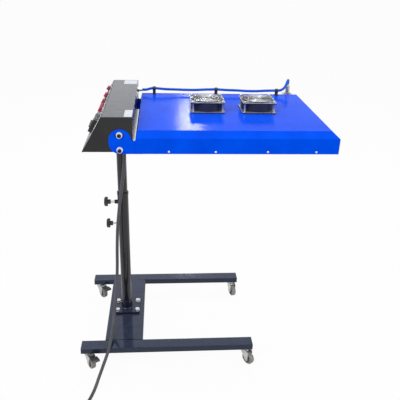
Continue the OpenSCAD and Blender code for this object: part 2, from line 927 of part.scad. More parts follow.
module control_box() {
    wall_in = box_wall / sin(panel_angle);
    color([0.2, 0.2, 0.21]) difference() {
        extrude_y(2 * box_half_l) box_profile(panel_shift);
        extrude_y(2 * (box_half_l - box_wall)) polygon([
            [box_base_left + panel_shift + wall_in + box_wall * panel_run / panel_rise, box_z + box_wall],
            [box_right - box_wall, box_z + box_wall], [box_right - box_wall, box_top - box_wall],
            [box_top_left + panel_shift + wall_in - box_wall * panel_run / panel_rise,
                box_top - box_wall]]);
        on_panel(0, panel_l / 2)
            cube([panel_l - 2 * panel_flange, 2 * (box_half_l - panel_flange), 4 * (panel_t + box_wall)],
                center = true);
        at_tilt_bolts() bar(tilt_bolt_r + running_gap, -2 * box_wall, cut);
        at_socket_bolts() bar(socket_bolt_r + screw_gap, 0, socket_plate_t + box_wall + cut);
        translate([cord_exit_x, cord_exit_y, box_z - cut])
            cylinder(r = gland_thread_r + screw_gap, h = box_wall + 2 * cut);
        translate([box_right - box_wall - cut, sensor_line_y, sensor_exit_z]) along_x()
            cylinder(r = sensor_thread_r + screw_gap, h = box_wall + 2 * cut);
    }
}

module control_panel() {
    color([0.62, 0.63, 0.65]) difference() {
        on_panel(0, panel_l / 2) translate([0, 0, -panel_t / 2])
            cube([panel_l, 2 * box_half_l, panel_t], center = true);
        for (c = rocker_rows) on_panel(c[0], control_s)
            cube([rocker_h + 2 * (bezel_wall + screw_gap), c[1] + 2 * (bezel_wall + screw_gap),
                4 * panel_t],
                center = true);
        on_panel(breaker_y, breaker_s)
            cube([breaker_h + 2 * screw_gap, breaker_w + 2 * screw_gap, 4 * panel_t], center = true);
    }
}

// Place along Y and width of each rocker
rocker_rows = [[heater_rocker_y, rocker_w], [fan_rocker_y, rocker_w], [sensor_rocker_y, rocker_w],
    [main_rocker_y, main_rocker_w]];

module switch_bezels() {
    color([0.1, 0.1, 0.11]) for (c = rocker_rows) on_panel(c[0], control_s) difference() {
        union() {
            translate([0, 0, bezel_t / 2]) cube([rocker_h + 2 * (bezel_wall + bezel_rim),
                c[1] + 2 * (bezel_wall + bezel_rim), bezel_t], center = true);
            translate([0, 0, -bezel_depth / 2])
                cube([rocker_h + 2 * bezel_wall, c[1] + 2 * bezel_wall, bezel_depth], center = true);
        }
        translate([0, 0, bezel_wall])
            cube([rocker_h, c[1], 2 * bezel_depth], center = true);
        rotate([90, 0, 0])
            cylinder(r = rocker_pin_r + running_gap, h = c[1] + 2 * rocker_pin_l + 2 * face_gap,
                center = true);
    }
}

// A rocker's outline: two flats that meet in a shallow valley, over a round underside
module rocker_outline() {
    half = rocker_h / 2 - rocker_end_gap;
    polygon([[-half, 0], [-half + bezel_wall, -rocker_depth], [half - bezel_wall, -rocker_depth],
        [half, 0],
        [half, rocker_proud], [0, rocker_proud - rocker_valley], [-half, rocker_proud - rocker_fall]]);
}

module rocker(y, w) {
    color([0.75, 0.1, 0.22]) on_panel(y, control_s) {
        rotate([0, rocker_throw, 0]) rotate([90, 0, 0]) linear_extrude(w - 2 * rocker_side_gap,
            center = true)
            rocker_outline();
        rotate([90, 0, 0]) cylinder(r = rocker_pin_r, h = w + 2 * rocker_pin_l, center = true);
    }
}

module heater_rocker() {
    rocker(heater_rocker_y, rocker_w);
}

module fan_rocker() {
    rocker(fan_rocker_y, rocker_w);
}

module sensor_rocker() {
    rocker(sensor_rocker_y, rocker_w);
}

module main_rocker() {
    rocker(main_rocker_y, main_rocker_w);
}

pole_w = breaker_w / breaker_poles;
lever_slot_w = pole_w - 2 * bezel_wall;
lever_w = lever_slot_w - 2 * face_gap;

module breaker_body() {
    color([0.1, 0.1, 0.11]) on_panel(breaker_y, breaker_s) difference() {
        union() {
            translate([0, 0, -breaker_depth / 2]) cube([breaker_h, breaker_w, breaker_depth],
                center = true);
            for (k = [0 : breaker_poles - 1]) translate([0, (k + 0.5) * pole_w - breaker_w / 2, 0])
                translate([0, 0, breaker_proud / 2])
                    cube([breaker_h, pole_w - face_gap, breaker_proud], center = true);
        }
        for (k = [0 : breaker_poles - 1]) translate([0, (k + 0.5) * pole_w - breaker_w / 2, 0])
            cube([breaker_slot_h, lever_slot_w, 2 * (breaker_proud + lever_r)], center = true);
        rotate([90, 0, 0]) cylinder(r = lever_pin_r + running_gap, h = breaker_w - bezel_wall,
            center = true);
    }
}

module breaker_lever() {
    color([0.16, 0.16, 0.17]) on_panel(breaker_y, breaker_s) {
        rotate([90, 0, 0]) cylinder(r = lever_pin_r, h = breaker_w - bezel_wall - face_gap, center = true);
        for (k = [0 : breaker_poles - 1]) translate([0, (k + 0.5) * pole_w - breaker_w / 2, 0])
            rotate([0, -lever_throw, 0]) {
                rotate([90, 0, 0]) cylinder(r = lever_r - lever_gap, h = lever_w, center = true);
                translate([0, 0, (lever_r + lever_tip) / 2])
                    cube([lever_tip_t, lever_w, lever_r + lever_tip], center = true);
            }
        rotate([0, -lever_throw, 0]) translate([0, 0, lever_r + lever_tip - lever_bar_t / 2])
            cube([lever_tip_t, breaker_w - pole_w + lever_w, lever_bar_t], center = true);
    }
}

module heater_relay() {
    color([0.85, 0.85, 0.82]) translate([relay_x, relay_y, box_z + box_wall]) {
        translate([0, 0, din_rail_t / 2])
            cube([din_rail_w, relay_w + din_rail_extra, din_rail_t], center = true);
        translate([0, 0, din_rail_t + (relay_h - relay_step) / 2])
            cube([relay_l, relay_w, relay_h - relay_step], center = true);
        translate([0, 0, din_rail_t + relay_h / 2])
            cube([relay_l - 2 * relay_step, relay_w, relay_h], center = true);
    }
}

module cable_glands() {
    color([0.82, 0.82, 0.84]) {
        translate([cord_exit_x, cord_exit_y, box_z]) mirror([0, 0, 1]) {
            hex(gland_flats, gland_nut_h);
            bar(gland_thread_r, -box_wall - gland_inside, gland_nut_h);
            translate([0, 0, gland_nut_h])
                cylinder(r1 = gland_neck_r, r2 = cord_r + bezel_wall / 2, h = gland_l - gland_nut_h);
            translate([0, 0, -box_wall - gland_locknut_h]) hex(gland_flats, gland_locknut_h);
        }
        translate([box_right, sensor_line_y, sensor_exit_z]) along_x() {
            hex(sensor_gland_flats, sensor_gland_nut_h);
            bar(sensor_thread_r, -box_wall - gland_inside, sensor_gland_nut_h);
            translate([0, 0, sensor_gland_nut_h]) cylinder(r1 = sensor_gland_neck_r,
                r2 = sensor_cable_r + bezel_wall / 4, h = sensor_gland_l - sensor_gland_nut_h);
            translate([0, 0, -box_wall - gland_locknut_h]) hex(sensor_gland_flats, gland_locknut_h);
        }
    }
}

module head_bolts() {
    outer = tilt_washer_t + face_gap + bracket_t + face_gap;
    color([0.7, 0.71, 0.73]) {
        at_tilt_bolts() difference() {
            union() {
                bar(tilt_bolt_r, -box_wall - tilt_nut_h - face_gap, outer);
                bar(tilt_washer_r, outer - tilt_washer_t, outer);
                bar(tilt_head_r, outer, outer + tilt_head_h);
                translate([0, 0, -box_wall - tilt_nut_h]) hex(tilt_nut_flats, tilt_nut_h);
            }
            translate([0, 0, outer + tilt_head_h - tilt_hex_depth]) hex(tilt_hex_flats,
                tilt_hex_depth + cut);
        }
        at_socket_bolts() {
            bar(socket_bolt_r, -socket_bolt_head_h, socket_bolt_l);
            translate([0, 0, -socket_bolt_head_h]) hex(socket_bolt_flats, socket_bolt_head_h);
            translate([0, 0, socket_plate_t + box_wall]) hex(socket_bolt_flats, socket_bolt_head_h);
        }
    }
}

// Hood

module hood_side_profile(inset) {
    x0 = hood_x0 + inset;
    x1 = hood_x1 - inset;
    polygon([[x0, hood_z], [x1, hood_z], [x1, hood_side_top], [x1 - bevel_in, hood_top - inset],
        [x0 + left_bevel_in, hood_top - inset], [x0, hood_side_top]]);
}

module hood_end_profile(inset) {
    half = hood_half_w - inset;
    polygon([[-half, hood_z], [half, hood_z], [half, hood_side_top], [half - bevel_in, hood_top - inset],
        [-half + bevel_in, hood_top - inset], [-half, hood_side_top]]);
}

module hood_form(inset) {
    intersection() {
        extrude_y(2 * hood_w) hood_side_profile(inset);
        translate([hood_x0 + hood_l / 2, 0, 0]) extrude_x(2 * hood_l) hood_end_profile(inset);
    }
}

module at_side_screws() {
    for (y = [-1, 1], share = side_screw_shares)
        translate([hood_x0 + share * hood_l, y * hood_half_w, side_screw_z])
            rotate([y * -90, 0, 0]) children();
}

module at_fans() {
    for (k = [0, 1]) translate([fan_x + k * fan_pitch, fan_y, hood_top]) children();
}

module at_fan_screws() {
    at_fans() for (x = [-1, 1], y = [-1, 1])
        translate([x * fan_screw_d / 2, y * fan_screw_d / 2, 0]) children();
}

module hood_shell() {
    color([0.0, 0.33, 1.0]) difference() {
        hood_form(0);
        difference() {
            hood_form(skin);
            difference() {
                block([hood_x0, -hood_half_w, hood_z - cut], [hood_x1, hood_half_w, hood_z + skin]);
                block([hood_x0 + hood_lip, -hood_half_w + hood_lip, hood_z - 2 * cut],
                    [hood_x1 - hood_lip, hood_half_w - hood_lip, hood_z + 2 * skin]);
            }
        }
        for (y = [-1, 1]) scale([1, y, 1])
            block([hood_x0 - cut, bracket_y - face_gap, hood_z - cut],
                [hood_x0 + bracket_in + face_gap, hood_half_w - skin, hood_side_top + face_gap]);
        at_fans() bar(fan_bore_r, -skin - cut, cut);
        at_fan_screws() bar(fan_screw_r + screw_gap, -skin - cut, cut);
        at_side_screws() bar(side_screw_r + screw_gap, -skin - cut, cut);
    }
}

// An arc-shaped slot round the tilt pivot, with round ends
module tilt_slot() {
    slot_r = tilt_bolt_r + screw_gap;
    rotate([90, 0, 0]) translate([0, 0, -bracket_t]) linear_extrude(3 * bracket_t) {
        difference() {
            polygon(concat([[0, 0]], [for (a = [-1, 1]) 2 * tilt_slot_up
                * [sin(a * tilt_slot_swing), cos(a * tilt_slot_swing)]]));
            circle(tilt_slot_up - slot_r, $fn = 180);
            difference() {
                circle(4 * tilt_slot_up);
                circle(tilt_slot_up + slot_r, $fn = 180);
            }
        }
        for (a = [-1, 1]) rotate(-a * tilt_slot_swing) translate([0, tilt_slot_up])
            circle(slot_r + slot_relief);
    }
}

module side_bracket() {
    low = hood_z - bracket_drop;
    notch_r = hood_gap / 2 - slot_relief;
    difference() {
        rotate([90, 0, 0]) linear_extrude(bracket_t) difference() {
            union() {
                for (z = [bracket_top - bracket_lobe_r, low + bracket_lobe_r])
                    translate([bracket_lobe_x, z]) circle(bracket_lobe_r);
                translate([bracket_lobe_x - bracket_lobe_r, low + bracket_lobe_r])
                    square([2 * bracket_lobe_r, bracket_top - low - 2 * bracket_lobe_r]);
                translate([bracket_lobe_x, low])
                    square([hood_x0 + bracket_in - bracket_lobe_x, bracket_arm_top - low]);
                translate([hood_x0, low]) square([bracket_in, hood_side_h]);
            }
            translate([box_right + hood_gap / 2, bracket_arm_top]) circle(notch_r);
        }
        translate([pivot_x, 0, pivot_z]) {
            rotate([90, 0, 0]) cylinder(r = tilt_bolt_r + running_gap, h = 4 * bracket_t, center = true);
            tilt_slot();
        }
    }
}

module side_brackets() {
    color([0.0, 0.35, 1.0]) {
        translate([0, -bracket_y, 0]) side_bracket();
        translate([0, bracket_y + bracket_t, 0]) side_bracket();
    }
}

// A screw's low dome, with its flat face on the XY plane
module screw_dome(r, h) {
    dome_r = (r * r + h * h) / (2 * h);
    intersection() {
        translate([0, 0, h - dome_r]) sphere(dome_r);
        cylinder(r = r, h = h);
    }
}

module hood_screws() {
    color([0.8, 0.81, 0.82]) {
        at_side_screws() {
            screw_dome(side_screw_head_r, side_screw_head_h);
            bar(side_screw_r, -side_screw_l, 0);
        }
        at_fan_screws() {
            eye_top = fan_h + guard_eye_t;
            bar(fan_screw_r, -skin - fan_nut_h - face_gap, eye_top);
            translate([0, 0, eye_top]) screw_dome(fan_screw_head_r, fan_screw_head_h);
            translate([0, 0, -skin - fan_nut_h]) hex(fan_nut_flats, fan_nut_h);
        }
    }
}

module insulation() {
    z0 = reflector_z + reflector_t;
    color([0.9, 0.88, 0.8]) difference() {
        block([guard_x0 + insulation_in, -guard_half_w + insulation_in, z0],
            [guard_x1 - insulation_in, guard_half_w - insulation_in, z0 + insulation_t]);
        at_fans() bar(duct_r, -hood_side_h - bevel_h, cut);
    }
}

function lamp_x(k) = guard_x0 + lamp_margin + k * lamp_pitch;

module reflector() {
    low = guard_z + guard_frame_h;
    color([0.85, 0.86, 0.87]) difference() {
        block([guard_x0, -guard_half_w, low], [guard_x1, guard_half_w, reflector_z + reflector_t]);
        block([guard_x0 + reflector_edge, -guard_half_w + reflector_edge, low - cut],
            [guard_x1 - reflector_edge, guard_half_w - reflector_edge, reflector_z]);
        for (k = [0 : lamp_count - 2], row = [0 : slot_rows - 1])
            translate([lamp_x(k) + lamp_pitch / 2, (row - (slot_rows - 1) / 2) * (slot_l + slot_gap),
                reflector_z])
                cube([slot_w, slot_l, 4 * reflector_t], center = true);
    }
}

module quartz_tubes() {
    color([0.9, 0.85, 0.75]) for (k = [0 : lamp_count - 1])
        translate([lamp_x(k), 0, lamp_z]) rotate([90, 0, 0]) {
            cylinder(r = lamp_d / 2, h = lamp_l, center = true);
            for (s = [-1, 1]) translate([0, 0, s * (lamp_l + lamp_cap_l) / 2]) {
                cylinder(r = lamp_cap_r, h = lamp_cap_l, center = true);
                translate([0, 0, s * (lamp_cap_l + lamp_pin_l) / 2])
                    cylinder(r = lamp_pin_r, h = lamp_pin_l, center = true);
            }
        }
}

module tube_holders() {
    color([0.75, 0.76, 0.77]) for (s = [-1, 1]) difference() {
        union() {
            translate([0, s * holder_y, 0]) block([holder_x0, -holder_t / 2, holder_z],
                [holder_x1, holder_t / 2, reflector_z]);
            translate([0, s * (holder_y + holder_foot / 2), 0])
                block([holder_x0, -holder_foot / 2, reflector_z - holder_t],
                    [holder_x1, holder_foot / 2, reflector_z]);
        }
        for (k = [0 : lamp_count - 1]) translate([lamp_x(k), s * holder_y, lamp_z]) rotate([90, 0, 0])
            cylinder(r = lamp_cap_r + running_gap, h = 4 * holder_t, center = true);
    }
}

module guard_wire(l) {
    cylinder(r = guard_wire_d / 2, h = l, center = true, $fn = 8);
}

module wire_guard() {
    mid_x = (guard_x0 + guard_x1) / 2;
    inner_l = guard_x1 - guard_x0 - guard_frame_w;
    inner_w = 2 * guard_half_w - guard_frame_w;
    count_x = floor(inner_l / guard_pitch_x / 2);
    count_y = floor(inner_w / guard_pitch_y / 2);
    wire_z = guard_z + guard_frame_t + guard_wire_d / 2;
    color([0.7, 0.71, 0.72]) {
        difference() {
            block([guard_x0, -guard_half_w, guard_z], [guard_x1, guard_half_w, guard_z + guard_frame_h]);
            block([guard_x0 + guard_frame_t, -guard_half_w + guard_frame_t, guard_z + guard_frame_t],
                [guard_x1 - guard_frame_t, guard_half_w - guard_frame_t, guard_z + guard_frame_h + cut]);
            block([guard_x0 + guard_frame_w, -guard_half_w + guard_frame_w, guard_z - cut],
                [guard_x1 - guard_frame_w, guard_half_w - guard_frame_w, guard_z + guard_frame_h + cut]);
            at_side_screws() bar(side_screw_r + screw_gap, -side_screw_l - cut, cut);
        }
        for (k = [-count_x : count_x]) translate([mid_x + k * guard_pitch_x, 0, wire_z - weld])
            rotate([90, 0, 0]) guard_wire(inner_w);
        for (k = [-count_y : count_y]) translate([mid_x, k * guard_pitch_y,
            wire_z + guard_wire_d - 2 * weld])
            along_x() guard_wire(inner_l);
    }
}

// Fans

module fan_flange() {
    linear_extrude(fan_flange_t) difference() {
        round_rect(fan_w, fan_w, fan_corner_r);
        circle(fan_bore_r);
        for (x = [-1, 1], y = [-1, 1])
            translate([x * fan_screw_d / 2, y * fan_screw_d / 2]) circle(fan_screw_r + screw_gap);
    }
}

module fan_frames() {
    color([0.13, 0.13, 0.15]) at_fans() {
        fan_flange();
        translate([0, 0, fan_h - fan_flange_t]) fan_flange();
        linear_extrude(fan_h) intersection() {
            square(fan_w, center = true);
            difference() {
                circle(fan_bore_r + fan_barrel_t);
                circle(fan_bore_r);
            }
        }
        bar(fan_motor_r, 0, fan_motor_h);
        bar(fan_pin_r, 0, fan_motor_h + rotor_h / 2);
        for (a = [45 : 90 : 315]) rotate(a) translate([fan_motor_r - fan_barrel_t, -fan_strut_w / 2, 0])
            cube([fan_bore_r - fan_motor_r + 1.5 * fan_barrel_t, fan_strut_w, fan_strut_t]);
    }
}

module fan_rotor(k) {
    color([0.1, 0.1, 0.12]) translate([fan_x + k * fan_pitch, fan_y, hood_top + rotor_z]) difference() {
        union() {
            cylinder(r = rotor_hub_r, h = rotor_h);
            intersection() {
                cylinder(r = rotor_tip_r, h = rotor_h);
                for (b = [0 : blade_count - 1]) rotate(360 * b / blade_count)
                    translate([rotor_tip_r / 2 + rotor_hub_r / 2, 0, rotor_h / 2]) rotate([blade_pitch,
                        0, 0])
                        cube([rotor_tip_r - rotor_hub_r + 4 * blade_t, blade_chord, blade_t],
                            center = true);
            }
        }
        translate([0, 0, -cut]) cylinder(r = fan_pin_r + running_gap, h = rotor_h / 2 + face_gap + cut);
    }
}

module left_fan_rotor() {
    fan_rotor(0);
}

module right_fan_rotor() {
    fan_rotor(1);
}

module fan_guards() {
    wire = guard_ring_wire_r;
    corner = fan_screw_d / sqrt(2);
    color([0.84, 0.85, 0.87]) at_fans() {
        for (k = [0 : guard_ring_count - 1]) translate([0, 0, fan_h + guard_eye_t / 2 + 2 * wire - weld])
            rotate_extrude() translate([guard_ring_r0 + k * guard_ring_pitch, 0]) circle(wire, $fn = 16);
        translate([0, 0, fan_h + guard_eye_t / 2]) for (a = [45 : 90 : 315]) rotate(a) {
            translate([guard_ring_r0 - wire, 0, 0]) along_x()
                cylinder(r = wire, h = corner - guard_eye_r - guard_ring_r0 + 2 * wire, $fn = 16);
            translate([corner, 0, 0]) difference() {
                cylinder(r = guard_eye_r, h = guard_eye_t, center = true);
                cylinder(r = fan_screw_r + screw_gap, h = 2 * guard_eye_t, center = true);
            }
        }
    }
}

// Sensor and its cable

module cable_clip(place) {
    ring_r = sensor_cable_r + clip_wall;
    z = place[2];
    translate([place[0], place[1], 0]) difference() {
        union() {
            block([-clip_w / 2, -clip_post_t / 2, hood_top], [clip_w / 2, clip_post_t / 2, z]);
            block([-clip_w / 2, -clip_foot_l / 2, hood_top], [clip_w / 2, clip_foot_l / 2,
                hood_top + clip_foot_t]);
            translate([0, 0, z]) along_x() cylinder(r = ring_r, h = clip_w, center = true);
        }
        translate([0, 0, z]) along_x() cylinder(r = sensor_cable_r + running_gap, h = 2 * clip_w,
            center = true);
    }
}

module cable_clips() {
    color([0.12, 0.12, 0.14]) for (k = clip_spans) cable_clip((sensor_route[k] + sensor_route[k + 1]) / 2);
}

module sensor() {
    color([0.72, 0.7, 0.68]) translate([sensor_x, 0, 0]) {
        difference() {
            union() {
                block([-sensor_bracket_w / 2, hood_half_w, hood_side_top - sensor_bracket_w / 2],
                    [sensor_bracket_w / 2, hood_half_w + sensor_shelf_t, sensor_shelf_z]);
                block([-sensor_bracket_w / 2, hood_half_w, sensor_shelf_z - sensor_shelf_t],
                    [sensor_bracket_w / 2, hood_half_w + sensor_bracket_out, sensor_shelf_z]);
            }
            translate([0, sensor_y, 0])
                bar(sensor_r + running_gap, sensor_shelf_z - 2 * sensor_shelf_t, sensor_shelf_z + cut);
        }
        translate([0, sensor_y, 0]) {
            bar(sensor_r, sensor_low, sensor_high);
            translate([0, 0, sensor_high]) cylinder(r1 = sensor_neck_r,
                r2 = sensor_cable_r + bezel_wall / 4,
                h = sensor_neck_h);
            translate([0, 0, sensor_shelf_z]) hex(sensor_nut_flats, sensor_nut_h);
            translate([0, 0, sensor_shelf_z - sensor_shelf_t - sensor_nut_h])
                hex(sensor_nut_flats, sensor_nut_h);
        }
    }
}

module sensor_cable() {
    color([0.05, 0.35, 0.9]) swept_tube(sensor_route, sensor_cable_r, cord_sides, [0.3, 1, 0.2]);
}

module sensor_cable_loop() {
    color([0.05, 0.35, 0.9]) swept_tube(sensor_loop_route, sensor_cable_r, cord_sides, [0, 1, 0]);
}

// Power cord

module power_cord_upper() {
    color([0.2, 0.2, 0.24]) swept_tube(smooth_route(upper_route, 1), cord_r, cord_sides, [1, 0, 0]);
}

module power_cord_lower() {
    color([0.2, 0.2, 0.24]) swept_tube(smooth_route(lower_route, 2), cord_r, cord_sides, [1, 0, 0]);
}

// The coil: it spirals in on the floor, climbs a layer in half a turn and spirals out on top
coil_in = lower_route[len(lower_route) - 1];
coil_dir = unit(coil_in - lower_route[len(lower_route) - 2]);
coil_start = coil_in + cord_d * coil_dir;
coil_entry_angle = atan2(-coil_dir[0], coil_dir[1]);
coil_centre = coil_start - coil_r * [cos(coil_entry_angle), sin(coil_entry_angle), 0];
coil_turns = coil_whole_turns + (coil_exit_angle - coil_entry_angle) / 360;
coil_turn_back = coil_whole_turns / 2 + 1 / 4;
coil_rings = round(coil_turns * coil_rings_per_turn);

function coil_radius(t) = coil_r - coil_pitch * (t < coil_turn_back ? t : 2 * coil_turn_back - t);

function coil_rise(t) = coil_pitch * max(0, min(1, 2 * (t - coil_turn_back) + 1 / 2));

function coil_point(t) = coil_centre + [0, 0, coil_rise(t)]
    + coil_radius(t) * [cos(coil_entry_angle + 360 * t), sin(coil_entry_angle + 360 * t), 0];

coil_turns_points = [for (k = [0 : coil_rings]) coil_point(k * coil_turns / coil_rings)];
coil_end = coil_turns_points[coil_rings];
coil_out = [1, 0, 0];
coil_points = concat([coil_in], coil_turns_points, [coil_end + plug_run * coil_out]);

coil_least_gap = min([for (i = [0 : coil_rings], j = [0 : coil_rings])
    if (j - i > coil_rings_per_turn / 2) norm(coil_turns_points[i] - coil_turns_points[j])]) - cord_d;
echo(coil_least_gap = coil_least_gap);

module cord_coil() {
    color([0.2, 0.2, 0.24]) swept_tube(coil_points, cord_r, coil_sides, [0, 0, 1]);
}

module plug() {
    plug_h = 2 * (cord_r + coil_pitch);
    color([0.15, 0.15, 0.17]) translate(coil_end + plug_run * coil_out) {
        along_x() cylinder(r1 = cord_r + bezel_wall, r2 = plug_nose_r, h = plug_nose_l);
        translate([plug_nose_l + plug_l / 2, 0, 0]) extrude_x(plug_l) round_rect(plug_w, plug_h,
            plug_round);
    }
    color([0.8, 0.75, 0.55]) translate(coil_end + (plug_run + plug_nose_l + plug_l) * coil_out)
        for (a = [90, 210, 330]) translate([0, plug_pin_spread * cos(a), plug_pin_spread * sin(a)])
            along_x() cylinder(r = plug_pin_r, h = plug_pin_l);
}

near_rail();
far_rail();
rail_end_caps();
crossbar();
column_foot();
foot_bolts();
outer_column();
caster_stems();
near_left_fork();
near_right_fork();
far_left_fork();
far_right_fork();
near_left_hub();
near_right_hub();
far_left_hub();
far_right_hub();
near_left_tyre();
near_right_tyre();
far_left_tyre();
far_right_tyre();
near_brake_pedal();
far_brake_pedal();
mast();
upper_knob();
upper_stud();
lower_knob();
lower_stud();
head_socket();
head_bolts();
control_box();
control_panel();
heater_relay();
cable_glands();
breaker_body();
breaker_lever();
switch_bezels();
heater_rocker();
fan_rocker();
sensor_rocker();
main_rocker();
hood_shell();
side_brackets();
hood_screws();
insulation();
reflector();
quartz_tubes();
tube_holders();
wire_guard();
fan_frames();
left_fan_rotor();
right_fan_rotor();
fan_guards();
cable_clips();
sensor();
sensor_cable();
sensor_cable_loop();
power_cord_upper();
power_cord_lower();
cord_coil();
plug();
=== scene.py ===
import json
import math

import bmesh
import bpy
from mathutils import Matrix, Vector


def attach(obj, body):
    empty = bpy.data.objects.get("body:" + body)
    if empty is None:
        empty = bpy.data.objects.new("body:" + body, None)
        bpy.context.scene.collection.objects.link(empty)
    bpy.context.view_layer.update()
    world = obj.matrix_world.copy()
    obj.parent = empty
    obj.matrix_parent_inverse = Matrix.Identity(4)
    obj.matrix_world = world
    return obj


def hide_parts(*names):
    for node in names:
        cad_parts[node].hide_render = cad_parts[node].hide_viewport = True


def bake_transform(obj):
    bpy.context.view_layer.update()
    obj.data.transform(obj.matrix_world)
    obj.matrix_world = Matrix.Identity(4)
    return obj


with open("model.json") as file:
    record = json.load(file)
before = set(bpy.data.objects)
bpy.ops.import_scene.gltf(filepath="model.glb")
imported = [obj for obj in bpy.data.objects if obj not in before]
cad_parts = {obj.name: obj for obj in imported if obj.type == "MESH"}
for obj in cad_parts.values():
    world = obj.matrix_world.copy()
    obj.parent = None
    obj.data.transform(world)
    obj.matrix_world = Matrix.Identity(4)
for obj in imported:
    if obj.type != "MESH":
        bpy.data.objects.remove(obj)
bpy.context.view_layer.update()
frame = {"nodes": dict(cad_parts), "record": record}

scene = bpy.context.scene
scene.view_settings.view_transform = "Standard"

# Lengths are in metres, unless a comment or a name says otherwise

# Camera, fitted to the photograph: angles in degrees, focal length in pixels
CAMERA_PLACE = (0.1456, -1.8270, 1.4519)
CAMERA_YAW, CAMERA_PITCH, CAMERA_ROLL = 4.739, 25.002, 1.75
FOCAL_PX, IMAGE_PX, SENSOR_MM = 519.84, 400, 36.0
CLIP_NEAR, CLIP_FAR = 0.05, 100


def placed(place, x, y, z):
    """The matrix of a frame at a place, with three directions as its axes."""
    return Matrix.Translation(place) @ Matrix((x, y, z)).transposed().to_4x4()


def add_camera():
    yaw, pitch, roll = (math.radians(v) for v in (CAMERA_YAW, CAMERA_PITCH, CAMERA_ROLL))
    forward = Vector((math.sin(yaw) * math.cos(pitch), math.cos(yaw) * math.cos(pitch),
                      -math.sin(pitch)))
    level = Vector((math.cos(yaw), -math.sin(yaw), 0))
    above = level.cross(forward)
    right = level * math.cos(roll) + above * math.sin(roll)
    up = above * math.cos(roll) - level * math.sin(roll)
    data = bpy.data.cameras.new("camera")
    data.sensor_width, data.lens = SENSOR_MM, FOCAL_PX / IMAGE_PX * SENSOR_MM
    data.clip_start, data.clip_end = CLIP_NEAR, CLIP_FAR
    camera = bpy.data.objects.new("camera", data)
    scene.collection.objects.link(camera)
    camera.matrix_world = placed(CAMERA_PLACE, right, up, -forward)
    scene.camera = camera


add_camera()

# Mesh helpers
SPLIT_ANGLE = math.radians(32)
DOME_SIDES, DOME_RINGS = 20, 5
CORNER_STEPS = 5


def from_bmesh(name, bm, body=None, material=None, smooth=True):
    """Turns a bmesh into an object, which may ride on a body and have a slot in the table."""
    bmesh.ops.recalc_face_normals(bm, faces=bm.faces)
    mesh = bpy.data.meshes.new(name)
    bm.to_mesh(mesh)
    bm.free()
    mesh.update()
    for face in mesh.polygons:
        face.use_smooth = smooth
    mesh.materials.append(material)
    obj = bpy.data.objects.new(name, mesh)
    scene.collection.objects.link(obj)
    if body:
        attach(obj, body)
    return obj


def sharpen(obj):
    obj.modifiers.new("edges", "EDGE_SPLIT").split_angle = SPLIT_ANGLE


def around(count):
    """The cosine and sine of each of the equal steps round a circle."""
    return [(math.cos(2 * math.pi * k / count), math.sin(2 * math.pi * k / count))
            for k in range(count)]


def circle_line(centre, radius, count):
    return [centre + Vector((radius * c, radius * s, 0)) for c, s in around(count)]


def rounded_square(centre, half, corner):
    line = []
    for quarter in range(4):
        turn = math.pi / 2 * quarter
        offset = Vector((half - corner, half - corner, 0))
        hub = centre + Matrix.Rotation(turn, 3, "Z") @ offset
        for k in range(CORNER_STEPS + 1):
            a = turn + math.pi / 2 * k / CORNER_STEPS
            line.append(hub + Vector((math.cos(a), math.sin(a), 0)) * corner)
    return line


def smooth_line(points, steps):
    """The Catmull-Rom curve through the points, cut into equal steps of each span."""
    p = [Vector(q) for q in points]
    p = [2 * p[0] - p[1]] + p + [2 * p[-1] - p[-2]]
    line = []
    for i in range(1, len(p) - 2):
        a, b, c, d = p[i - 1:i + 3]
        for k in range(steps):
            t = k / steps
            line.append((2 * b + (c - a) * t + (2 * a - 5 * b + 4 * c - d) * t * t
                         + (3 * b - a - 3 * c + d) * t ** 3) / 2)
    line.append(p[-2])
    return line


def bridge(bm, low, high):
    """Joins two rings of vertices by a band of faces."""
    for k in range(len(low)):
        m = (k + 1) % len(low)
        bm.faces.new((low[k], low[m], high[m], high[k]))


def tube_into(bm, line, radius, sides, closed=False):
    """Adds a round tube along a line of points, its ends capped unless it is closed.

    The radius is one number, or a list with one for each point.
    """
    count = len(line)
    radii = radius if isinstance(radius, list) else [radius] * count
    rings, side = [], None
    for i, point in enumerate(line):
        before = line[i - 1] if i or closed else line[0]
        after = line[(i + 1) % count] if closed or i < count - 1 else line[-1]
        ahead = (after - before).normalized()
        if side is None:
            side = ahead.orthogonal().normalized()
        side = (side - ahead * side.dot(ahead)).normalized()
        across = ahead.cross(side)
        rings.append([bm.verts.new(point + (side * c + across * s) * radii[i])
                      for c, s in around(sides)])
    for i in range(count if closed else count - 1):
        bridge(bm, rings[i], rings[(i + 1) % count])
    if not closed:
        bm.faces.new(rings[0][::-1])
        bm.faces.new(rings[-1])


def plate_into(bm, matrix, size, corner, thick):
    """Adds a thin plate with round corners, its lower face on the frame's XY plane."""
    w, h = size[0] / 2, size[1] / 2
    rim = []
    for qx, qy, start in ((1, 1, 0), (-1, 1, 90), (-1, -1, 180), (1, -1, 270)):
        for turn in (0, 22.5, 45, 67.5, 90):
            a = math.radians(start + turn)
            rim.append((qx * (w - corner) + corner * math.cos(a),
                        qy * (h - corner) + corner * math.sin(a)))
    low = [bm.verts.new(matrix @ Vector((x, y, 0))) for x, y in rim]
    high = [bm.verts.new(matrix @ Vector((x, y, thick))) for x, y in rim]
    bm.faces.new(low[::-1])
    bm.faces.new(high)
    bridge(bm, low, high)


